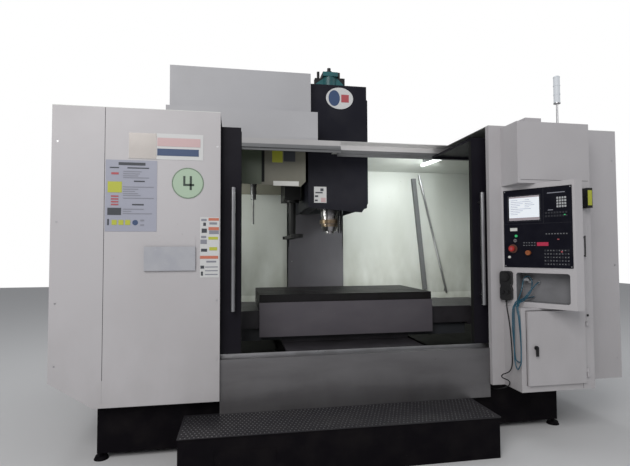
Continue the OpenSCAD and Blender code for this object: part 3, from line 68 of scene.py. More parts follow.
def mix(nodes, links, factor, a, b):
    """Blends a colour or socket with a colour by a factor socket."""
    n = nodes.new("ShaderNodeMix")
    n.data_type = "RGBA"
    for key, v in ((0, factor), (6, a), (7, b)):
        if hasattr(v, "is_output"):
            links.new(v, n.inputs[key])
        else:
            n.inputs[key].default_value = (*v[:3], 1)
    return n.outputs[2]


def noise(nodes, links, scale, detail=4.0, stretch=(1, 1, 1)):
    """Noise by the object's own coordinates, stretched along chosen axes."""
    c = nodes.new("ShaderNodeTexCoord")
    m = nodes.new("ShaderNodeMapping")
    m.inputs["Scale"].default_value = stretch
    links.new(c.outputs["Object"], m.inputs["Vector"])
    n = nodes.new("ShaderNodeTexNoise")
    n.inputs["Scale"].default_value = scale
    n.inputs["Detail"].default_value = detail
    links.new(m.outputs["Vector"], n.inputs["Vector"])
    return n.outputs["Fac"]


def height(nodes, links, low, high, amount):
    """A factor that goes from the amount at the low height to nothing at the high one."""
    c = nodes.new("ShaderNodeTexCoord")
    s = nodes.new("ShaderNodeSeparateXYZ")
    links.new(c.outputs["Object"], s.inputs[0])
    r = nodes.new("ShaderNodeMapRange")
    for i, v in enumerate((low, high, amount, 0.0)):
        r.inputs[i + 1].default_value = v
    links.new(s.outputs["Z"], r.inputs[0])
    return r.outputs[0]


def maths(nodes, links, operation, a, b):
    """Joins a socket with another socket or a number."""
    n = nodes.new("ShaderNodeMath")
    n.operation = operation
    links.new(a, n.inputs[0])
    if hasattr(b, "is_output"):
        links.new(b, n.inputs[1])
    else:
        n.inputs[1].default_value = b
    return n.outputs[0]


DIRT_EDGES = (0.42, 0.78)  # noise values between which the clouds of dirt come up
LOW_TONE_EDGES = (0.30, 0.75)  # the same for the change of colour toward the bottom, painted shade on the chamber liner and the housing
SPOT_EDGE = 0.03
SHINE = (-0.08, 0.10)  # how far the roughness wanders
BUMP_DEPTH = 0.002


def paint(name, color, rough=0.45, metal=0.0, dirt=None, stretch=(1, 1, 1), low=None, spots=None, bump=None,
          coat=0.0, spec=0.5):
    """A painted or metal finish.

    dirt is the clouds' colour, amount and scale, and low the change of colour toward the bottom: the heights
    where it is full and gone, its amount and colour; on the chamber liner and the magazine housing it is
    painted shade.
    spots are given as scale, threshold, amount and colour, and bump as strength and scale.
    """
    m, nodes, links, bsdf = tree(name)
    out = color
    if dirt:
        r = ramp(nodes, *DIRT_EDGES, dirt[1])
        links.new(noise(nodes, links, dirt[2], 6.0, stretch), r.inputs[0])
        out = mix(nodes, links, r.outputs[0], out, dirt[0])
    if low:
        r = ramp(nodes, *LOW_TONE_EDGES, 1.0)
        links.new(noise(nodes, links, 5.0, 8.0, (1, 1, 0.5)), r.inputs[0])
        f = maths(nodes, links, "MULTIPLY", height(nodes, links, *low[:3]), r.outputs[0])
        out = mix(nodes, links, f, out, low[3])
    if spots:
        r = ramp(nodes, spots[1], spots[1] + SPOT_EDGE, spots[2])
        links.new(noise(nodes, links, spots[0], 2.0), r.inputs[0])
        out = mix(nodes, links, r.outputs[0], out, spots[3])
    if hasattr(out, "is_output"):
        links.new(out, bsdf.inputs["Base Color"])
    else:
        bsdf.inputs["Base Color"].default_value = (*color, 1)
    r = nodes.new("ShaderNodeMapRange")
    r.inputs[3].default_value = rough + SHINE[0]
    r.inputs[4].default_value = rough + SHINE[1]
    links.new(noise(nodes, links, 7.0, 5.0), r.inputs[0])
    links.new(r.outputs[0], bsdf.inputs["Roughness"])
    bsdf.inputs["Metallic"].default_value = metal
    bsdf.inputs["Coat Weight"].default_value = coat
    bsdf.inputs["Specular IOR Level"].default_value = spec
    if bump:
        b = nodes.new("ShaderNodeBump")
        b.inputs["Strength"].default_value = bump[0]
        b.inputs["Distance"].default_value = BUMP_DEPTH
        links.new(noise(nodes, links, bump[1], 3.0), b.inputs["Height"])
        links.new(b.outputs[0], bsdf.inputs["Normal"])
    return m


def glass(name, color, rough, alpha):
    m, _, _, bsdf = tree(name)
    bsdf.inputs["Base Color"].default_value = (*color, 1)
    bsdf.inputs["Roughness"].default_value = rough
    bsdf.inputs["Alpha"].default_value = alpha
    bsdf.inputs["IOR"].default_value = 1.45
    bsdf.inputs["Coat Weight"].default_value = 0.6
    return m


def glow(name, color, strength):
    m, _, _, bsdf = tree(name)
    bsdf.inputs["Base Color"].default_value = (*color, 1)
    bsdf.inputs["Emission Color"].default_value = (*color, 1)
    bsdf.inputs["Emission Strength"].default_value = strength
    return m


# Sheets of the enclosure
WHITE = paint("white_sheet", (0.47, 0.455, 0.465), 0.42, dirt=((0.37, 0.352, 0.355), 0.45, 1.5),
              low=(0.35, 1.15, 0.45, (0.31, 0.295, 0.29)), spots=(34, 0.76, 0.35, (0.27, 0.25, 0.24)),
              bump=(0.05, 220))
WHITE_EDGE = paint("white_edge", (0.40, 0.395, 0.395), 0.5, dirt=((0.27, 0.26, 0.26), 0.4, 3))
# The header's white sheet, painted much brighter than the other sheets as painted light against the shadow
# of the roof sheet above it.
HEADER_PAINTED_LIGHT = paint("header_painted_light", (0.78, 0.77, 0.77), 0.5, dirt=((0.60, 0.59, 0.58), 0.4, 3))
# Inside the pendant's recess the white sheet is painted dark grey, as the shade that falls there.
CUBBY_PAINTED_SHADE = paint("cubby_painted_shade", (0.20, 0.20, 0.21), 0.5, dirt=((0.11, 0.11, 0.115), 0.6, 7))
BOX = paint("roof_box_white", (0.40, 0.40, 0.415), 0.5, dirt=((0.31, 0.305, 0.31), 0.4, 1.8))
# The liner's strong darkening toward the chip pan, full at 0.75 m and gone at 1.55 m, is painted shade of
# the chamber's lower part.
LINER = paint("interior_sheet", (0.60, 0.62, 0.585), 0.40, dirt=((0.33, 0.34, 0.28), 0.45, 2.2),
              stretch=(1, 1, 0.35), low=(0.75, 1.55, 0.85, (0.21, 0.215, 0.165)),
              spots=(26, 0.76, 0.4, (0.20, 0.20, 0.16)))
# Near-black painted shade for the chip pan's floor and low walls, which lie in the chamber's shadow.
PAN_PAINTED_SHADE = paint("pan_floor_painted_shade", (0.004, 0.0035, 0.004), 0.45, dirt=((0.009, 0.008, 0.008), 0.5, 9), spec=0.05)
NAVY = paint("dark_sheet", (0.008, 0.007, 0.011), 0.38, dirt=((0.022, 0.022, 0.028), 0.35, 4),
             low=(0.6, 1.3, 0.3, (0.02, 0.018, 0.018)), spec=0.10)
BLACK = paint("black_sheet", (0.0042, 0.0034, 0.0048), 0.6, dirt=((0.014, 0.012, 0.012), 0.5, 8),
              spots=(40, 0.76, 0.35, (0.05, 0.045, 0.042)), bump=(0.2, 60), spec=0.05)
STEP = paint("step_sheet", (0.018, 0.017, 0.020), 0.5, dirt=((0.035, 0.033, 0.034), 0.5, 6), bump=(0.2, 60),
             spec=0.3)
STAINLESS = paint("stainless", (0.20, 0.195, 0.20), 0.42, 0.85, dirt=((0.12, 0.115, 0.12), 0.6, 3.2),
                  stretch=(0.6, 1, 3), low=(0.25, 0.60, 0.5, (0.07, 0.065, 0.065)),
                  spots=(30, 0.76, 0.3, (0.07, 0.07, 0.07)))
PANE = glass("window_glass", (0.40, 0.47, 0.47), 0.12, 0.30)

# Covers in the chamber
# The magazine housing's pale beige sheet, painted dark as the shade it lies in, and darker again toward its
# foot as painted shade.
HOUSING_PAINTED_SHADE = paint("housing_sheet", (0.17, 0.165, 0.13), 0.45, dirt=((0.09, 0.095, 0.07), 0.5, 4),
                low=(1.85, 2.1, 0.5, (0.07, 0.07, 0.055)))
HOUSING_PANE = paint("housing_pane", (0.085, 0.105, 0.07), 0.35, dirt=((0.05, 0.065, 0.04), 0.5, 4))
COVER = paint("head_cover_paint", (0.011, 0.011, 0.017), 0.42, dirt=((0.028, 0.028, 0.033), 0.4, 5),
              spec=0.12)
WAY_COVER = paint("z_cover_sheet", (0.105, 0.100, 0.112), 0.42, 0.15, dirt=((0.06, 0.057, 0.063), 0.5, 5),
                  stretch=(1, 1, 0.4), spec=0.35)
# The grey way covers low in the chamber, painted near black as the shade that lies on them.
GREY_COVER_PAINTED_SHADE = paint("way_cover_painted_shade", (0.040, 0.037, 0.042), 0.42, 0.2,
                   dirt=((0.012, 0.011, 0.011), 0.7, 6), spec=0.3)
APRON = paint("apron", (0.090, 0.082, 0.094), 0.46, dirt=((0.125, 0.115, 0.125), 0.45, 4),
              stretch=(1, 1, 2), spots=(26, 0.74, 0.4, (0.17, 0.16, 0.16)), spec=0.35)

# Castings, steel and motors
CASTING = paint("casting", (0.030, 0.033, 0.038), 0.55, dirt=((0.05, 0.05, 0.05), 0.5, 5), bump=(0.25, 140))
DARK_CASTING = paint("dark_casting", (0.003, 0.003, 0.0033), 0.5, dirt=((0.008, 0.0075, 0.007), 0.5, 9),
                     bump=(0.25, 140), spec=0.3)
IRON = paint("machined_iron", (0.016, 0.015, 0.016), 0.45, 0.3, dirt=((0.014, 0.013, 0.012), 0.95, 6),
             spots=(48, 0.62, 0.7, (0.010, 0.010, 0.009)), bump=(0.2, 160), spec=0.15)
STEEL = paint("rail_steel", (0.45, 0.45, 0.46), 0.30, 1.0, dirt=((0.20, 0.19, 0.18), 0.4, 9))
DARK_STEEL = paint("dark_steel", (0.10, 0.10, 0.10), 0.38, 0.8, dirt=((0.03, 0.03, 0.03), 0.6, 14))
BRIGHT = paint("bright_steel", (0.36, 0.35, 0.355), 0.26, 1.0, dirt=((0.14, 0.13, 0.12), 0.6, 14))
HANDLE = paint("handle_tube", (0.34, 0.34, 0.35), 0.30, 1.0, dirt=((0.20, 0.20, 0.20), 0.4, 9))
BRASS = paint("brass", (0.20, 0.15, 0.10), 0.35, 1.0, dirt=((0.06, 0.045, 0.03), 0.7, 30))
MOTOR = paint("motor_black", (0.012, 0.012, 0.013), 0.45, dirt=((0.035, 0.034, 0.032), 0.5, 8), spec=0.3)
TEAL = paint("teal_paint", (0.015, 0.12, 0.13), 0.4, dirt=((0.02, 0.035, 0.04), 0.6, 10))
POT = paint("pot_blue", (0.012, 0.020, 0.040), 0.4, dirt=((0.02, 0.02, 0.02), 0.5, 9), spec=0.3)
GREY = paint("grey_paint", (0.15, 0.155, 0.16), 0.45, dirt=((0.07, 0.07, 0.07), 0.5, 3))

# Plastics, keys, cords and lamps
PLASTIC = paint("black_plastic", (0.008, 0.008, 0.009), 0.42, dirt=((0.03, 0.028, 0.026), 0.35, 12),
                spec=0.3)
PANEL = paint("panel_black", (0.0045, 0.0045, 0.0095), 0.35, dirt=((0.014, 0.014, 0.02), 0.45, 14),
              spec=0.10)
RED = paint("red_plastic", (0.42, 0.022, 0.018), 0.35, dirt=((0.20, 0.015, 0.015), 0.4, 20))
CREAM = paint("white_plastic", (0.62, 0.62, 0.59), 0.35)
ORANGE = paint("orange_plastic", (0.30, 0.085, 0.022), 0.45, dirt=((0.14, 0.05, 0.02), 0.5, 30))
ALU = paint("pocket_plastic", (0.40, 0.405, 0.43), 0.25, dirt=((0.30, 0.31, 0.36), 0.6, 9))
RUBBER = paint("belt_rubber", (0.008, 0.008, 0.008), 0.7, spec=0.25)
CORD = paint("cord_black", (0.006, 0.006, 0.007), 0.5, spec=0.3)
HOSE = paint("hose_teal", (0.010, 0.085, 0.135), 0.30, dirt=((0.008, 0.04, 0.07), 0.6, 25), coat=0.3)
KEY = paint("key_grey", (0.022, 0.023, 0.030), 0.5, spec=0.3)
KEY_WHITE = paint("key_white", (0.40, 0.41, 0.42), 0.5)
AMBER = paint("amber_ring", (0.10, 0.035, 0.02), 0.45)
LENS = glow("lens_plastic", (0.62, 0.65, 0.68), 0.12)
GREEN = glow("green_lamp", (0.03, 0.36, 0.12), 0.4)
READOUT = glow("red_readout", (0.30, 0.010, 0.04), 0.35)
LAMP = glow("lamp_tube", (0.95, 1.0, 0.97), 2.5)
SCREEN = glow("screen_white", (0.72, 0.76, 0.80), 0.35)
SCREEN_BAND = glow("screen_band", (0.30, 0.26, 0.28), 0.25)
SCREEN_DARK = glow("screen_text", (0.30, 0.32, 0.40), 0.1)

# Plates and their plain fields
LABEL = paint("label_white", (0.56, 0.565, 0.56), 0.45)
LABEL_GREY = paint("label_lavender", (0.32, 0.33, 0.395), 0.5, dirt=((0.27, 0.28, 0.33), 0.4, 3))
LABEL_DARK = paint("label_dark", (0.035, 0.04, 0.05), 0.5)
LABEL_MID = paint("label_mid", (0.22, 0.225, 0.26), 0.5)
LABEL_TAUPE = paint("label_taupe", (0.30, 0.28, 0.265), 0.35, 0.4)
LABEL_PINK = paint("label_pink", (0.52, 0.36, 0.36), 0.4)
LABEL_YELLOW = paint("label_yellow", (0.42, 0.44, 0.04), 0.5)
LABEL_ORANGE = paint("label_orange", (0.50, 0.15, 0.09), 0.5)
LABEL_RED = paint("label_red", (0.38, 0.07, 0.08), 0.5)
LABEL_BLUE = paint("label_blue", (0.03, 0.06, 0.14), 0.5)
DISC = paint("disc_green", (0.36, 0.47, 0.35), 0.4)
DISC_EDGE = paint("disc_edge", (0.14, 0.20, 0.14), 0.5)
DISC_DARK = paint("disc_mark", (0.022, 0.04, 0.028), 0.5)
DARK_GAP = paint("dark_gap", (0.02, 0.02, 0.022), 0.8)

BY_FINISH = {
    CASTING: ("bed", "column", "saddle", "head_casting"),
    DARK_CASTING: ("magazine_frame", "changer_arm"),
    IRON: ("work_table",),
    STEEL: ("fixed_rails", "y_screw", "x_screw", "z_screw", "motor_pulley"),
    BRIGHT: ("spindle_housing", "spindle", "key_switch"),
    MOTOR: ("fixed_servos", "x_servo", "spindle_motor", "waiting_pot"),
    GREY_COVER_PAINTED_SHADE: ("fixed_way_covers", "y_cover_mid", "saddle_covers", "x_cover_mid"),
    WAY_COVER: ("z_cover_mid",),
    APRON: ("table_covers",),
    COVER: ("head_cover",),
    TEAL: ("drawbar_cylinder",),
    RUBBER: ("drive_belt",),
    GREY: ("magazine_disc",),
    WHITE: ("front_panels", "side_panels", "control_cabinet", "pendant", "cabinet_door", "electric_cabinet",
            "electric_door"),
    BOX: ("magazine_cover",),
    LINER: ("roof_panels", "chip_pan"),
    NAVY: ("left_door", "right_door"),
    PANE: ("left_window", "right_window"),
    STAINLESS: ("door_sill",),
    BLACK: ("levelling_feet", "base_skirt", "coolant_tank"),
    PANEL: ("control_panel",),
    PLASTIC: ("mpg_body", "mpg_wheel", "cabinet_lock"),
    CREAM: ("work_lamp", "start_button"),
    RED: ("estop_button", "main_switch"),
    ORANGE: ("feed_knob",),
    LENS: ("tower_light",),
    LABEL: ("wall_plates",),
}
BY_NODE = {node: finish for finish, nodes in BY_FINISH.items() for node in nodes}


# Rules that give some faces of a node another finish, by the face's middle and normal
CORDS = ("mpg_cord", "air_hose")
FAR = 9
ANY = (-FAR, FAR)
HEADER_BACK = 0.785
WALL_Y = 1.94  # what lies behind it on the work lamp's node hangs on the back wall
PULLEY_Y = 1.59
DISC_AXIS_Z = 2.4
LAMP_BRACKET_Z = 2.1925


def over(value):
    return value, FAR


def under(value):
    return -FAR, value


def off_axis(x, y):
    """Distance from the spindle axis, seen from above."""
    return math.hypot(x, y - MID)


def within(x=ANY, y=ANY, z=ANY, r=ANY):
    """A rule for faces inside the given spans, where r is the distance from the spindle axis."""
    def test(cx, cy, cz, n):
        return x[0] < cx < x[1] and y[0] < cy < y[1] and z[0] < cz < z[1] and r[0] < off_axis(cx, cy) < r[1]
    return test


# The pendant's slanted face: u along it, v outward, z up
FACE_X = 1.03
ANGLE = math.atan2(-0.4, 0.27)
ALONG = Vector((math.cos(ANGLE), math.sin(ANGLE), 0))
OUT = Vector((math.sin(ANGLE), -math.cos(ANGLE), 0))


def on_face(u, out, z):
    return P(FACE_X, 0, 0) + ALONG * u + OUT * out + Vector((0, 0, z))


def on_panel(u, z, v):
    """A rule for faces inside spans of the slanted face."""
    def test(cx, cy, cz, n):
        d = Vector((cx - FACE_X, cy, 0))
        return u[0] < d.dot(ALONG) < u[1] and z[0] < cz < z[1] and v[0] < d.dot(OUT) < v[1]
    return test


def cylinder_fittings(x, y, z, n):
    """The drawbar cylinder's flange, its tie rods and what stands on its cap."""
    ports = z > 2.95 and off_axis(x, y) > 0.07 and abs(y - MID) < 0.031
    return off_axis(x, y) > 0.104 or ports or z > 3.0101


def housing_sheet(x, y, z, n):
    """The magazine frame's sheet housing, at its front, its right side and its back."""
    side = y < 0.8485 or -0.2885 < x < -0.28 or y > 1.6195
    return side and x > -0.85 and y < 1.624 and z > 1.85


def pot_ring(x, y, z, n):
    """The pots round the magazine disc."""
    return -0.70 < x < -0.601 and math.hypot(y - MID, z - DISC_AXIS_Z) > 0.22


def header(x, y, z, n):
    """The header's right piece, and the roof sheet's edge in front of it, which take the painted light."""
    return 0.70 < y < HEADER_BACK or 0.63 < y < HEADER_BACK and x > -0.02


def wall_pipe(x, y, z, n):
    """The bright pipe, to the right of the slanted duct."""
    return y > WALL_Y and x - 1.16 > (2.23 - z) * 0.135


RAISED = over(0.0051)  # what stands out from the control panel's face
HANDLE_FRONT = under(0.0796)
RULES = {
    "head_casting": [(WAY_COVER, within(y=over(1.90), z=under(1.7195))),
                     (STEEL, lambda x, y, z, n: y > 1.971 and abs(x) > 0.19)],
    "spindle_housing": [(BRASS, within(z=(1.5715, 1.6065), r=(0.0795, 0.0975))),
                        (PLASTIC, within(x=over(0.03), y=under(MID), z=under(1.7095), r=over(0.0935)))],
    "work_table": [(GREY, within(z=under(0.855)))],
    "saddle": [(STEEL, lambda x, y, z, n: z > 0.741 and abs(y - 0.85) > 0.1)],
    "table_covers": [(GREY_COVER_PAINTED_SHADE, lambda x, y, z, n: abs(x) > 0.7001)],
    "spindle": [(GREY, within(z=over(2.4), r=over(0.036)))],
    "motor_pulley": [(GREY, lambda x, y, z, n: math.hypot(x, y - PULLEY_Y) > 0.02)],
    "drawbar_cylinder": [(MOTOR, cylinder_fittings)],
    "magazine_frame": [(HOUSING_PAINTED_SHADE, housing_sheet)],
    "magazine_disc": [(POT, pot_ring), (BRIGHT, within(x=under(-0.69)))],
    "fixed_way_covers": [(WAY_COVER, within(y=over(1.5)))],
    # the chip pan below 0.90 m takes the near-black painted shade
    "chip_pan": [(PAN_PAINTED_SHADE, within(y=under(1.88), z=under(0.90)))],
    "coolant_tank": [(STEP, within(z=over(0.2565)))],
    "waiting_pot": [(DARK_STEEL, lambda x, y, z, n: z < 1.905 and abs(y - MID) < 0.034),
                    (GREY, lambda x, y, z, n: abs(y - MID) > 0.037)],
    "roof_panels": [(WHITE_EDGE, within(z=over(2.2295))), (HEADER_PAINTED_LIGHT, header),
                    (WHITE_EDGE, within(y=(0.63, 0.70)))],
    "door_sill": [(GREY, within(z=over(2.1))), (STEEL, within(z=over(0.6095)))],
    "left_door": [(HANDLE, within(y=HANDLE_FRONT))],
    "right_door": [(HANDLE, within(y=HANDLE_FRONT))],
    "work_lamp": [(STEEL, wall_pipe),
                  (GREY, lambda x, y, z, n: y > WALL_Y or n.z > 0.9 or z > LAMP_BRACKET_Z),
                  (LAMP, within(y=under(WALL_Y)))],
    "pendant": [(STEEL, on_panel((0.13, 0.225), (0.97, 1.13), (-0.1079, -0.04))),
                (CUBBY_PAINTED_SHADE, on_panel((0.09, 0.45), (0.95, 1.165), under(-0.002)))],
    "control_cabinet": [(PLASTIC, within(x=under(1.5575), y=under(-0.2005), z=(1.6075, 1.7475))),
                        (DARK_STEEL, within(y=under(-0.2045), z=(1.26, 1.42)))],
    "control_panel": [(SCREEN, on_panel((0.0561, 0.2619), (1.5259, 1.6961), over(0.0029))),
                      (AMBER, on_panel((0.047, 0.111), (1.295, 1.359), RAISED)),
                      (GREEN, on_panel((0.094, 0.114), (1.407, 1.427), RAISED)),
                      (CREAM, on_panel((0.061, 0.113), (1.451, 1.475), RAISED)),
                      (READOUT, on_panel((0.242, 0.318), (1.344, 1.371), RAISED)),
                      (KEY_WHITE, on_panel((0.373, 0.436), (1.60, 1.68), RAISED)),
                      (KEY, on_panel((0.10, 0.46), (1.2, 1.60), RAISED))],
    "tower_light": [(STEEL, within(z=under(2.4199))), (MOTOR, within(z=over(2.6181)))],
    "wall_plates": [(LABEL_GREY, within(x=under(-1.3755), z=(1.4425, 1.8955))),
                    (DISC, within(x=over(-1.2855), z=(1.6555, 1.8565))),
                    (LABEL, within(x=over(-1.1075), z=under(1.5375))),
                    (ALU, within(y=under(-0.0025), z=under(1.3475))), (WHITE, within(z=under(1.4135)))],
    "electric_cabinet": [(MOTOR, within(x=(0.81, 1.641), y=(2.0965, 2.32), z=(0.5, 1.9)))],
}


def finish_node(name, rules):
    """Gives a node its finish, and other finishes to the faces that a rule picks."""
    mesh = NODES[name].data
    mesh.materials.clear()
    mesh.materials.append(BY_NODE[name])
    for material, _ in rules:
        mesh.materials.append(material)
    for f in mesh.polygons:
        c = f.center
        picks = (i + 1 for i, (_, test) in enumerate(rules) if test(c.x, c.y + MID, c.z, f.normal))
        f.material_index = next(picks, 0)


for node in NODES:
    if node not in CORDS:
        finish_node(node, RULES.get(node, ()))


# Detail pieces

CUBE = [(0, 1, 3, 2), (4, 6, 7, 5), (0, 4, 5, 1), (2, 3, 7, 6), (0, 2, 6, 4), (1, 5, 7, 3)]
PLATE_FRONT = -0.002
FIELD_T = 0.0015
HOUSING_FRONT = 0.845
COVER_FRONT = 0.928
COLUMN_FRONT = -0.2


def add_mesh(name, verts, faces, material, body):
    me = bpy.data.meshes.new(name)
    me.from_pydata([tuple(v) for v in verts], [], faces)
    me.validate()
    o = bpy.data.objects.new(name, me)
    bpy.context.scene.collection.objects.link(o)
    me.materials.append(material)
    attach(o, body)
    return o


def blocks(name, items, material, body):
    """Blocks, each given by a corner and its three edges."""
    verts, faces = [], []
    for corner, ex, ey, ez in items:
        n = len(verts)
        verts += [corner + ex * i + ey * j + ez * k for i in (0, 1) for j in (0, 1) for k in (0, 1)]
        faces += [tuple(n + i for i in f) for f in CUBE]
    return add_mesh(name, verts, faces, material, body)


def boxes(name, items, material, body="root"):
    """Boxes given by two corners counted from the front plane."""
    corners = [(P(*a), P(*b) - P(*a)) for a, b in items]
    edges = [(o, Vector((d.x, 0, 0)), Vector((0, d.y, 0)), Vector((0, 0, d.z))) for o, d in corners]
    return blocks(name, edges, material, body)


def face_boxes(name, items, material, low, high, body="root"):
    """Thin boxes on the slanted face, from the low to the high level above it: (u0, u1, z0, z1)."""
    edges = [(on_face(u0, low, z0), ALONG * (u1 - u0), OUT * (high - low), Vector((0, 0, z1 - z0)))
             for u0, u1, z0, z1 in items]
    return blocks(name, edges, material, body)


def discs(name, items, material, body="root", sides=20):
    """Short round studs: (middle, radius, height vector)."""
    verts, faces = [], []
    for c, r, h in items:
        axis = h.normalized()
        a = axis.orthogonal().normalized()
        b = axis.cross(a)
        n = len(verts)
        for end in (Vector((0, 0, 0)), h):
            for k in range(sides):
                t = 2 * math.pi * k / sides
                verts.append(c + end + (a * math.cos(t) + b * math.sin(t)) * r)
        for k in range(sides):
            following = (k + 1) % sides
            faces.append((n + k, n + following, n + sides + following, n + sides + k))
        faces += [tuple(n + k for k in reversed(range(sides))), tuple(n + sides + k for k in range(sides))]
    return add_mesh(name, verts, faces, material, body)


def fields(name, items, material, body="root", y=PLATE_FRONT):
    """Thin fields on an upright plate that faces the front: (x0, x1, z0, z1)."""
    return boxes(name, [((x0, y - FIELD_T, z0), (x1, y, z1)) for x0, x1, z0, z1 in items], material, body)


def oval(name, x, y, z, rx, rz, material, body):
    """An upright oval plate that faces the front."""
    o = discs(name, [(Vector((0, 0, 0)), 1, Vector((0, -FIELD_T, 0)))], material, body, 40)
    for v in o.data.vertices:
        v.co = P(x + v.co.x * rx, y + v.co.y, z + v.co.z * rz)


# Left panel: badge, board, strip and disc with plain colour fields
fields("badge_field", [(-1.548, -1.381, 1.907, 2.071)], LABEL_TAUPE)
fields("badge_field_pink", [(-1.376, -1.108, 1.991, 2.045)], LABEL_PINK)
fields("badge_bar", [(-1.376, -1.118, 1.930, 1.975)], LABEL_BLUE)

fields("board_title", [(-1.608, -1.447, 1.862, 1.880), (-1.66, -1.605, 1.842, 1.849),
                       (-1.555, -1.425, 1.842, 1.849), (-1.515, -1.45, 1.757, 1.765),
                       (-1.525, -1.455, 1.608, 1.617), (-1.671, -1.661, 1.482, 1.520),
                       (-1.671, -1.59, 1.546, 1.591)], LABEL_DARK)
ROW_X, ROW_H = -1.58, 0.005
ROWS = [(0.11, 1.82), (0.10, 1.806), (0.09, 1.793), (0.155, 1.781), (0.185, 1.722), (0.09, 1.708),
        (0.07, 1.694), (0.09, 1.680), (0.105, 1.668), (0.185, 1.651), (0.125, 1.581), (0.05, 1.567),
        (0.175, 1.553)]
fields("board_rows", [(ROW_X, ROW_X + w, z, z + ROW_H) for w, z in ROWS]
       + [(-1.475, -1.452, 1.508, 1.518), (-1.475, -1.452, 1.480, 1.488)], LABEL_MID)
fields("board_yellow", [(-1.671, -1.587, 1.688, 1.757)]
       + [(-1.645 + 0.040 * i, -1.615 + 0.040 * i, 1.484, 1.515) for i in range(3)], LABEL_YELLOW)
fields("board_red", [(-1.651, -1.607, 1.660 - 0.0175 * i, 1.669 - 0.0175 * i) for i in range(4)]
       + [(-1.651, -1.607, 1.802, 1.815)], LABEL_RED)
discs("board_blue", [(P(-1.505, -0.0035, 1.499), 0.017, Vector((0, FIELD_T, 0)))], LABEL_BLUE)

fields("strip_red", [(-1.054, -0.988, 1.515, 1.532), (-1.054, -0.988, 1.453, 1.473),
                     (-1.106, -0.992, 1.268, 1.287)], LABEL_ORANGE)
fields("strip_yellow", [(-1.054, -0.994, 1.392, 1.410), (-1.048, -0.998, 1.322, 1.343)], LABEL_YELLOW)
fields("strip_grey", [(-1.050, -0.988, 1.428, 1.451), (-1.048, -1.00, 1.490, 1.504),
                      (-1.100, -1.066, 1.512, 1.526), (-1.100, -1.068, 1.402, 1.416),
                      (-1.104, -1.064, 1.364, 1.392),
                      (-1.066, -1.004, 1.244, 1.255), (-1.074, -0.994, 1.212, 1.218),
                      (-1.074, -0.994, 1.188, 1.194), (-1.074, -0.994, 1.164, 1.170)], LABEL_MID)
fields("strip_dark", [(-1.087, -1.070, 1.481, 1.502), (-1.097, -1.064, 1.436, 1.463),
                      (-1.100, -1.062, 1.314, 1.333), (-1.103, -1.080, 1.205, 1.224),
                      (-1.100, -1.087, 1.160, 1.186)], LABEL_DARK)
boxes("pocket_paper", [((-1.441, -0.0085, 1.200), (-1.143, -0.0075, 1.338))], LABEL)

DISC_X, DISC_Z = -1.185, 1.756
RING_R, RING_N = 0.0965, 72
fields("disc_number", [(-1.214, -1.146, 1.738, 1.751), (-1.174, -1.160, 1.712, 1.802),
                       (-1.214, -1.201, 1.751, 1.802)], DISC_DARK)
ring = []
for k in range(RING_N):
    t = 2 * math.pi * k / RING_N
    ring.append((P(DISC_X + RING_R * math.cos(t), -0.0031, DISC_Z + RING_R * math.sin(t)), 0.0042,
                 Vector((0, 0.0012, 0))))
discs("disc_ring", ring, DISC_EDGE, sides=6)

# Front panels: seam of the left one, and screws
boxes("left_seam", [((-1.6925, -0.0004, 0.52), (-1.6895, 0.0, 2.226))], DARK_GAP)
screws = [(x, z) for x in (-1.965, -1.0) for z in (0.62, 1.0, 1.5, 2.0)]
screws += [(1.965, z) for z in (0.5, 1.2, 2.0)]
discs("panel_screws", [(P(x, -FIELD_T, z), 0.006, Vector((0, FIELD_T, 0))) for x, z in screws], STEEL,
      sides=10)

# Control column: seams, sign box field and keyhole
boxes("column_lines", [((x0, COLUMN_FRONT - 0.0006, z0), (x1, COLUMN_FRONT, z1)) for x0, x1, z0, z1 in (
    (1.050, 1.575, 1.802, 1.8045), (1.4985, 1.5005, 0.36, 0.90), (1.4985, 1.5005, 0.905, 1.03))], DARK_GAP)
boxes("sign_field", [((1.520, -0.2615, 1.625), (1.552, -0.260, 1.730))], LABEL_YELLOW)
discs("column_keyhole", [(P(1.545, -0.205, 0.86), 0.008, Vector((0, 0.004, 0)))], DARK_GAP)

# Control panel: bezel, screen picture, key marks and buttons, each at its level above the face
GLASS_LEVEL, PANEL_LEVEL, KEY_LEVEL = 0.003, 0.005, 0.007
face_boxes("screen_bezel", [(0.046, 0.272, 1.700, 1.7035), (0.046, 0.272, 1.5165, 1.520),
                            (0.046, 0.0495, 1.52, 1.70), (0.2685, 0.272, 1.52, 1.70)], KEY, PANEL_LEVEL,
           KEY_LEVEL)
face_boxes("screen_band", [(0.0565, 0.2615, 1.5265, 1.545), (0.0565, 0.2615, 1.685, 1.6955)], SCREEN_BAND,
           GLASS_LEVEL, 0.0034)


def text_rows(count, left, shortest, step, stride):
    """Plain lines on the screen, of uneven length."""
    return [(left, left + shortest + step * ((i * stride) % 4), 1.668 - 0.0125 * i, 1.6705 - 0.0125 * i)
            for i in range(count)]


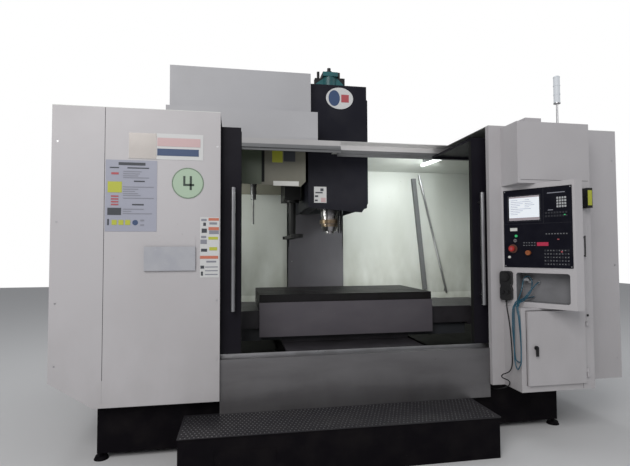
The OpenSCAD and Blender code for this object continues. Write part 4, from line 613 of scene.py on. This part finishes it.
face_boxes("screen_lines", text_rows(9, 0.066, 0.05, 0.018, 7) + text_rows(6, 0.165, 0.03, 0.012, 5),
           SCREEN_DARK, GLASS_LEVEL, 0.0034)
face_boxes("panel_seams", [(0.0175, 0.4650, 1.499, 1.5005), (0.288, 0.2895, 1.50, 1.744)], KEY, PANEL_LEVEL,
           0.0054)
face_boxes("key_marks_white", [(0.303 + 0.018 * i, 0.309 + 0.018 * i, 1.4245, 1.4275) for i in range(8)]
           + [(0.293 + 0.018 * i, 0.298 + 0.018 * i, 1.22 + 0.023 * j, 1.2225 + 0.023 * j)
              for i in range(9) for j in range(5) if (i * 3 + j) % 4]
           + [(0.153 + 0.018 * i, 0.160 + 0.018 * i, 1.3485 + 0.018 * j, 1.3505 + 0.018 * j)
              for i in range(5) for j in range(2)], KEY_WHITE, KEY_LEVEL, 0.0072)
face_boxes("panel_buttons_red", [(0.395, 0.405, 1.300, 1.310), (0.374, 0.386, 1.385, 1.392)], LABEL_RED,
           PANEL_LEVEL, 0.0075)
face_boxes("panel_buttons_green", [(0.418, 0.428, 1.548, 1.554)], GREEN, KEY_LEVEL, 0.0076)
face_boxes("panel_marks", [(0.315, 0.425, 1.700, 1.706), (0.318, 0.35, 1.585, 1.590)], LABEL_MID,
           PANEL_LEVEL, 0.0054)
corners = [on_face(u, PANEL_LEVEL, z) for u in (0.026, 0.457) for z in (1.205, 1.735)]
discs("panel_screws_black", [(c, 0.004, OUT * 0.001) for c in corners], STEEL, sides=10)
discs("stop_cap", [(on_face(0.079, 0.038, 1.327), 0.009, OUT * 0.0006)], LABEL_RED, "estop_button")

# Head cover: plain badge and label
BADGE_Z = 2.69
BADGE_FRONT = COVER_FRONT - FIELD_T
oval("cover_badge", 0.04, COVER_FRONT, BADGE_Z, 0.125, 0.098, LABEL, "head")
oval("cover_badge_field", -0.01, BADGE_FRONT, BADGE_Z, 0.052, 0.072, LABEL_BLUE, "head")
boxes("cover_badge_red", [((0.055, 0.925, 2.655), (0.125, BADGE_FRONT, 2.725))], LABEL_RED, "head")
fields("cover_label", [(-0.197, -0.085, 1.742, 1.885)], LABEL, "head", COVER_FRONT)
fields("cover_label_dark", [(-0.140, -0.112, 1.846, 1.870), (-0.185, -0.120, 1.826, 1.838),
                            (-0.190, -0.160, 1.792, 1.808), (-0.190, -0.165, 1.755, 1.770)],
       LABEL_DARK, "head", BADGE_FRONT)
fields("cover_label_red", [(-0.135, -0.092, 1.748, 1.787)], LABEL_PINK, "head", BADGE_FRONT)

# Magazine housing in the chamber: plain label fields, dark bar, pane and the pale strip at its foot
for name, span, finish in (("housing_field_yellow", (-0.575, -0.485, 2.075, 2.19), LABEL_YELLOW),
                           ("housing_field_dark", (-0.475, -0.375, 2.085, 2.19), LABEL_DARK),
                           ("housing_strip", (-0.565, -0.345, 1.875, 1.915), CREAM),
                           ("housing_bar", (-0.665, -0.640, 1.905, 2.19), RUBBER),
                           ("housing_pane", (-0.845, -0.665, 1.885, 2.19), HOUSING_PANE)):
    fields(name, [span], finish, y=HOUSING_FRONT)

# Step: fine studs between the moulded ones, in rows that are set off by half a pitch
STUD_PITCH, STUD_ROW = 0.025, 0.03
studs = []
for i in range(78):
    for j in range(12):
        x = -1.185 + STUD_PITCH * i + (STUD_PITCH / 2 if j % 2 else 0)
        if x < 0.77:
            studs.append((P(x, -0.318 + STUD_ROW * j, 0.26), 0.0045, Vector((0, 0, 0.0012))))
discs("step_studs", studs, STEEL, sides=6)

# Doors: rubber strips at the leading edges
EDGE_X, STRIP_T = 0.845, 0.004
boxes("left_door_strip", [((-EDGE_X, 0.084, 0.64), (-EDGE_X + STRIP_T, 0.116, 2.13))], RUBBER, "left_door")
boxes("right_door_strip", [((EDGE_X - STRIP_T, 0.084, 0.64), (EDGE_X, 0.116, 2.13))], RUBBER, "right_door")


# Cords

CORD_D = 0.008
PATH_STEPS = 6


def smooth_path(points):
    """A Catmull-Rom line through points in millimetres from the front plane, in the part's metres."""
    pts = [P(x / 1000, y / 1000, z / 1000) for x, y, z in points]
    out = []
    for i in range(len(pts) - 1):
        a, b, c, d = pts[max(i - 1, 0)], pts[i], pts[i + 1], pts[min(i + 2, len(pts) - 1)]
        square, cube = 2 * a - 5 * b + 4 * c - d, 3 * b - a - 3 * c + d
        for k in range(PATH_STEPS):
            t = k / PATH_STEPS
            out.append(0.5 * ((2 * b) + (c - a) * t + square * t * t + cube * t ** 3))
    return out + [pts[-1]]


def cord(name, points, diameter, material, **facts):
    path = smooth_path(points)
    cu = bpy.data.curves.new(name, "CURVE")
    cu.dimensions = "3D"
    cu.bevel_depth = diameter / 2
    cu.bevel_resolution = 4
    cu.use_fill_caps = True
    sp = cu.splines.new("POLY")
    sp.points.add(len(path) - 1)
    for q, v in zip(sp.points, path):
        q.co = (*v, 1)
    cu.materials.append(material)
    o = bpy.data.objects.new(name, cu)
    bpy.context.scene.collection.objects.link(o)
    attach(o, "root")
    return o


# Chosen one by one, and the same as in the CAD source
MPG_POINTS = [
    (1027, -43, 958), (1027, -43, 940), (1024, -52, 905), (1021, -66, 870), (1019, -80, 830),
    (1018, -91, 785), (1017, -100, 735), (1016, -107, 685), (1016, -112, 635), (1016, -115, 585),
    (1015, -116, 540), (1011, -113, 502), (998, -107, 474), (977, -98, 460), (960, -90, 452),
    (952, -85, 440), (960, -82, 427), (980, -84, 417), (1002, -87, 406), (1013, -86, 388),
    (1009, -77, 368), (994, -58, 350), (976, -30, 334), (967, 0, 324), (964, 35, 316), (964, 70, 312),
    (964, 97, 312)]
HOSE_POINTS = [
    (1217, -85, 985), (1202, -95, 985), (1127, -106, 974), (1090, -107, 966), (1062, -117, 950),
    (1024, -141, 924), (1017, -146, 900), (1014, -148, 870), (1011, -151, 760), (1008, -155, 590),
    (1007, -162, 548), (1006, -178, 519), (1005, -196, 510), (1006, -226, 552), (1007, -230, 590),
    (1013, -222, 700), (1018, -208, 820), (1021, -198, 870), (1021, -187, 900), (1025, -177, 924),
    (1040, -164, 936), (1060, -147, 952), (1106, -130, 967), (1161, -123, 1020), (1176, -118, 1060),
    (1180, -116, 1095), (1173, -104, 1124), (1164, -91, 1131), (1155, -78, 1124), (1147, -66, 1098),
    (1136, -67, 1050), (1097, -85, 977), (1056, -105, 950), (1040, -117, 935), (1024, -127, 924),
    (1016, -131, 900), (1013, -133, 865), (1012, -135, 755), (1016, -150, 590), (1018, -165, 560),
    (1018, -203, 560), (1017, -214, 590), (1020, -210, 700), (1021, -194, 820), (1022, -184, 870),
    (1021, -173, 900), (1025, -163, 924), (1040, -150, 936), (1060, -133, 951), (1125, -114, 986),
    (1149, -113, 1012), (1172, -128, 1045), (1190, -140, 1072), (1205, -137, 1083), (1223, -128, 1088),
    (1239, -117, 1088)]

hand_cord = cord("hand_unit_cord", MPG_POINTS, CORD_D, CORD, stiffness="medium", lay="hanging")
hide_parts("mpg_cord")
hose = cord("air_hose_line", HOSE_POINTS, CORD_D, HOSE, stiffness="medium", lay="hanging")
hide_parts("air_hose")


# Floor, light and camera

BACKDROP = (1, 1, 1)
SKY, SKY_STRENGTH = (0.94, 0.96, 1.0), 0.34
MIRRORED_BACKDROP = 0.12  # how much of the backdrop shiny faces mirror


def background():
    """A white backdrop for the camera and through glass, and a dimmer sky that lights the machine."""
    w = bpy.data.worlds.new("surroundings")
    bpy.context.scene.world = w
    w.use_nodes = True
    nodes, links = w.node_tree.nodes, w.node_tree.links
    sky = nodes["Background"]
    sky.inputs[0].default_value = (*SKY, 1)
    sky.inputs[1].default_value = SKY_STRENGTH
    seen = nodes.new("ShaderNodeBackground")
    seen.inputs[0].default_value = (*BACKDROP, 1)
    rays = nodes.new("ShaderNodeLightPath").outputs
    clear = maths(nodes, links, "MAXIMUM", rays["Is Camera Ray"], rays["Is Transmission Ray"])
    mirrored = maths(nodes, links, "MULTIPLY", rays["Is Glossy Ray"], MIRRORED_BACKDROP)
    both = nodes.new("ShaderNodeMixShader")
    links.new(maths(nodes, links, "MAXIMUM", clear, mirrored), both.inputs[0])
    links.new(sky.outputs[0], both.inputs[1])
    links.new(seen.outputs[0], both.inputs[2])
    links.new(both.outputs[0], nodes["World Output"].inputs[0])


def area(name, place, target, size, energy, color):
    """A light that the camera doesn't see, from a place to a target."""
    d = bpy.data.lights.new(name, "AREA")
    d.shape = "RECTANGLE"
    d.size, d.size_y = size
    d.energy = energy
    d.color = color
    o = bpy.data.objects.new(name, d)
    bpy.context.scene.collection.objects.link(o)
    o.location = place
    o.rotation_euler = (Vector(target) - Vector(place)).to_track_quat("-Z", "Y").to_euler()
    o.visible_camera = False


background()
area("sky_front", (-3.2, -6.5, 5.0), (-0.3, 0, 1.2), (4, 4), 300, (1.0, 0.985, 0.98))
area("sky_right", (6.0, -3.0, 4.5), (0.5, 0, 1.2), (4, 4), 45, (0.95, 0.97, 1.0))
area("sky_top", (0, 1.0, 6.0), (0, 0, 1.0), (6, 5), 110, (0.95, 0.98, 1.0))
area("header_fill", P(0.45, 0.30, 1.85), P(0.45, 0.78, 2.2), (1.0, 0.12), 1.8, (1.0, 0.99, 0.98))
area("chamber_lamp", P(1.02, 1.10, 2.12), P(0.3, 1.9, 1.35), (0.6, 0.10), 9.5, (0.95, 1.0, 0.98))
area("chamber_left", P(-1.25, 0.95, 1.75), P(-0.70, 1.94, 1.35), (0.3, 0.5), 7, (0.97, 1.0, 0.96))
area("chamber_back", P(0.75, 1.25, 1.05), P(0.75, 1.94, 1.45), (0.9, 0.25), 3, (0.97, 1.0, 0.97))

ground = bpy.data.meshes.new("floor")
ground.from_pydata([(-14, -12, 0), (14, -12, 0), (14, 14, 0), (-14, 14, 0)], [], [(0, 1, 2, 3)])
floor = bpy.data.objects.new("floor", ground)
bpy.context.scene.collection.objects.link(floor)
pale, _, _, bsdf = tree("floor_pale")
bsdf.inputs["Base Color"].default_value = (0.62, 0.62, 0.62, 1)
bsdf.inputs["Roughness"].default_value = 0.8
ground.materials.append(pale)

# The photo's view: 3 m ahead of the front plane, turned to the right and slightly up, with a short lens
CAMERA_PLACE = (-0.88, -4.2, 1.32)
CAMERA_TURN = (92.2, 0.2, -9.96)  # degrees
lens = bpy.data.cameras.new("camera")
lens.sensor_width = 36
lens.lens = 25.8
camera = bpy.data.objects.new("camera", lens)
bpy.context.scene.collection.objects.link(camera)
camera.location = CAMERA_PLACE
camera.rotation_euler = [math.radians(v) for v in CAMERA_TURN]
bpy.context.scene.camera = camera
bpy.context.scene.view_settings.view_transform = "Standard"
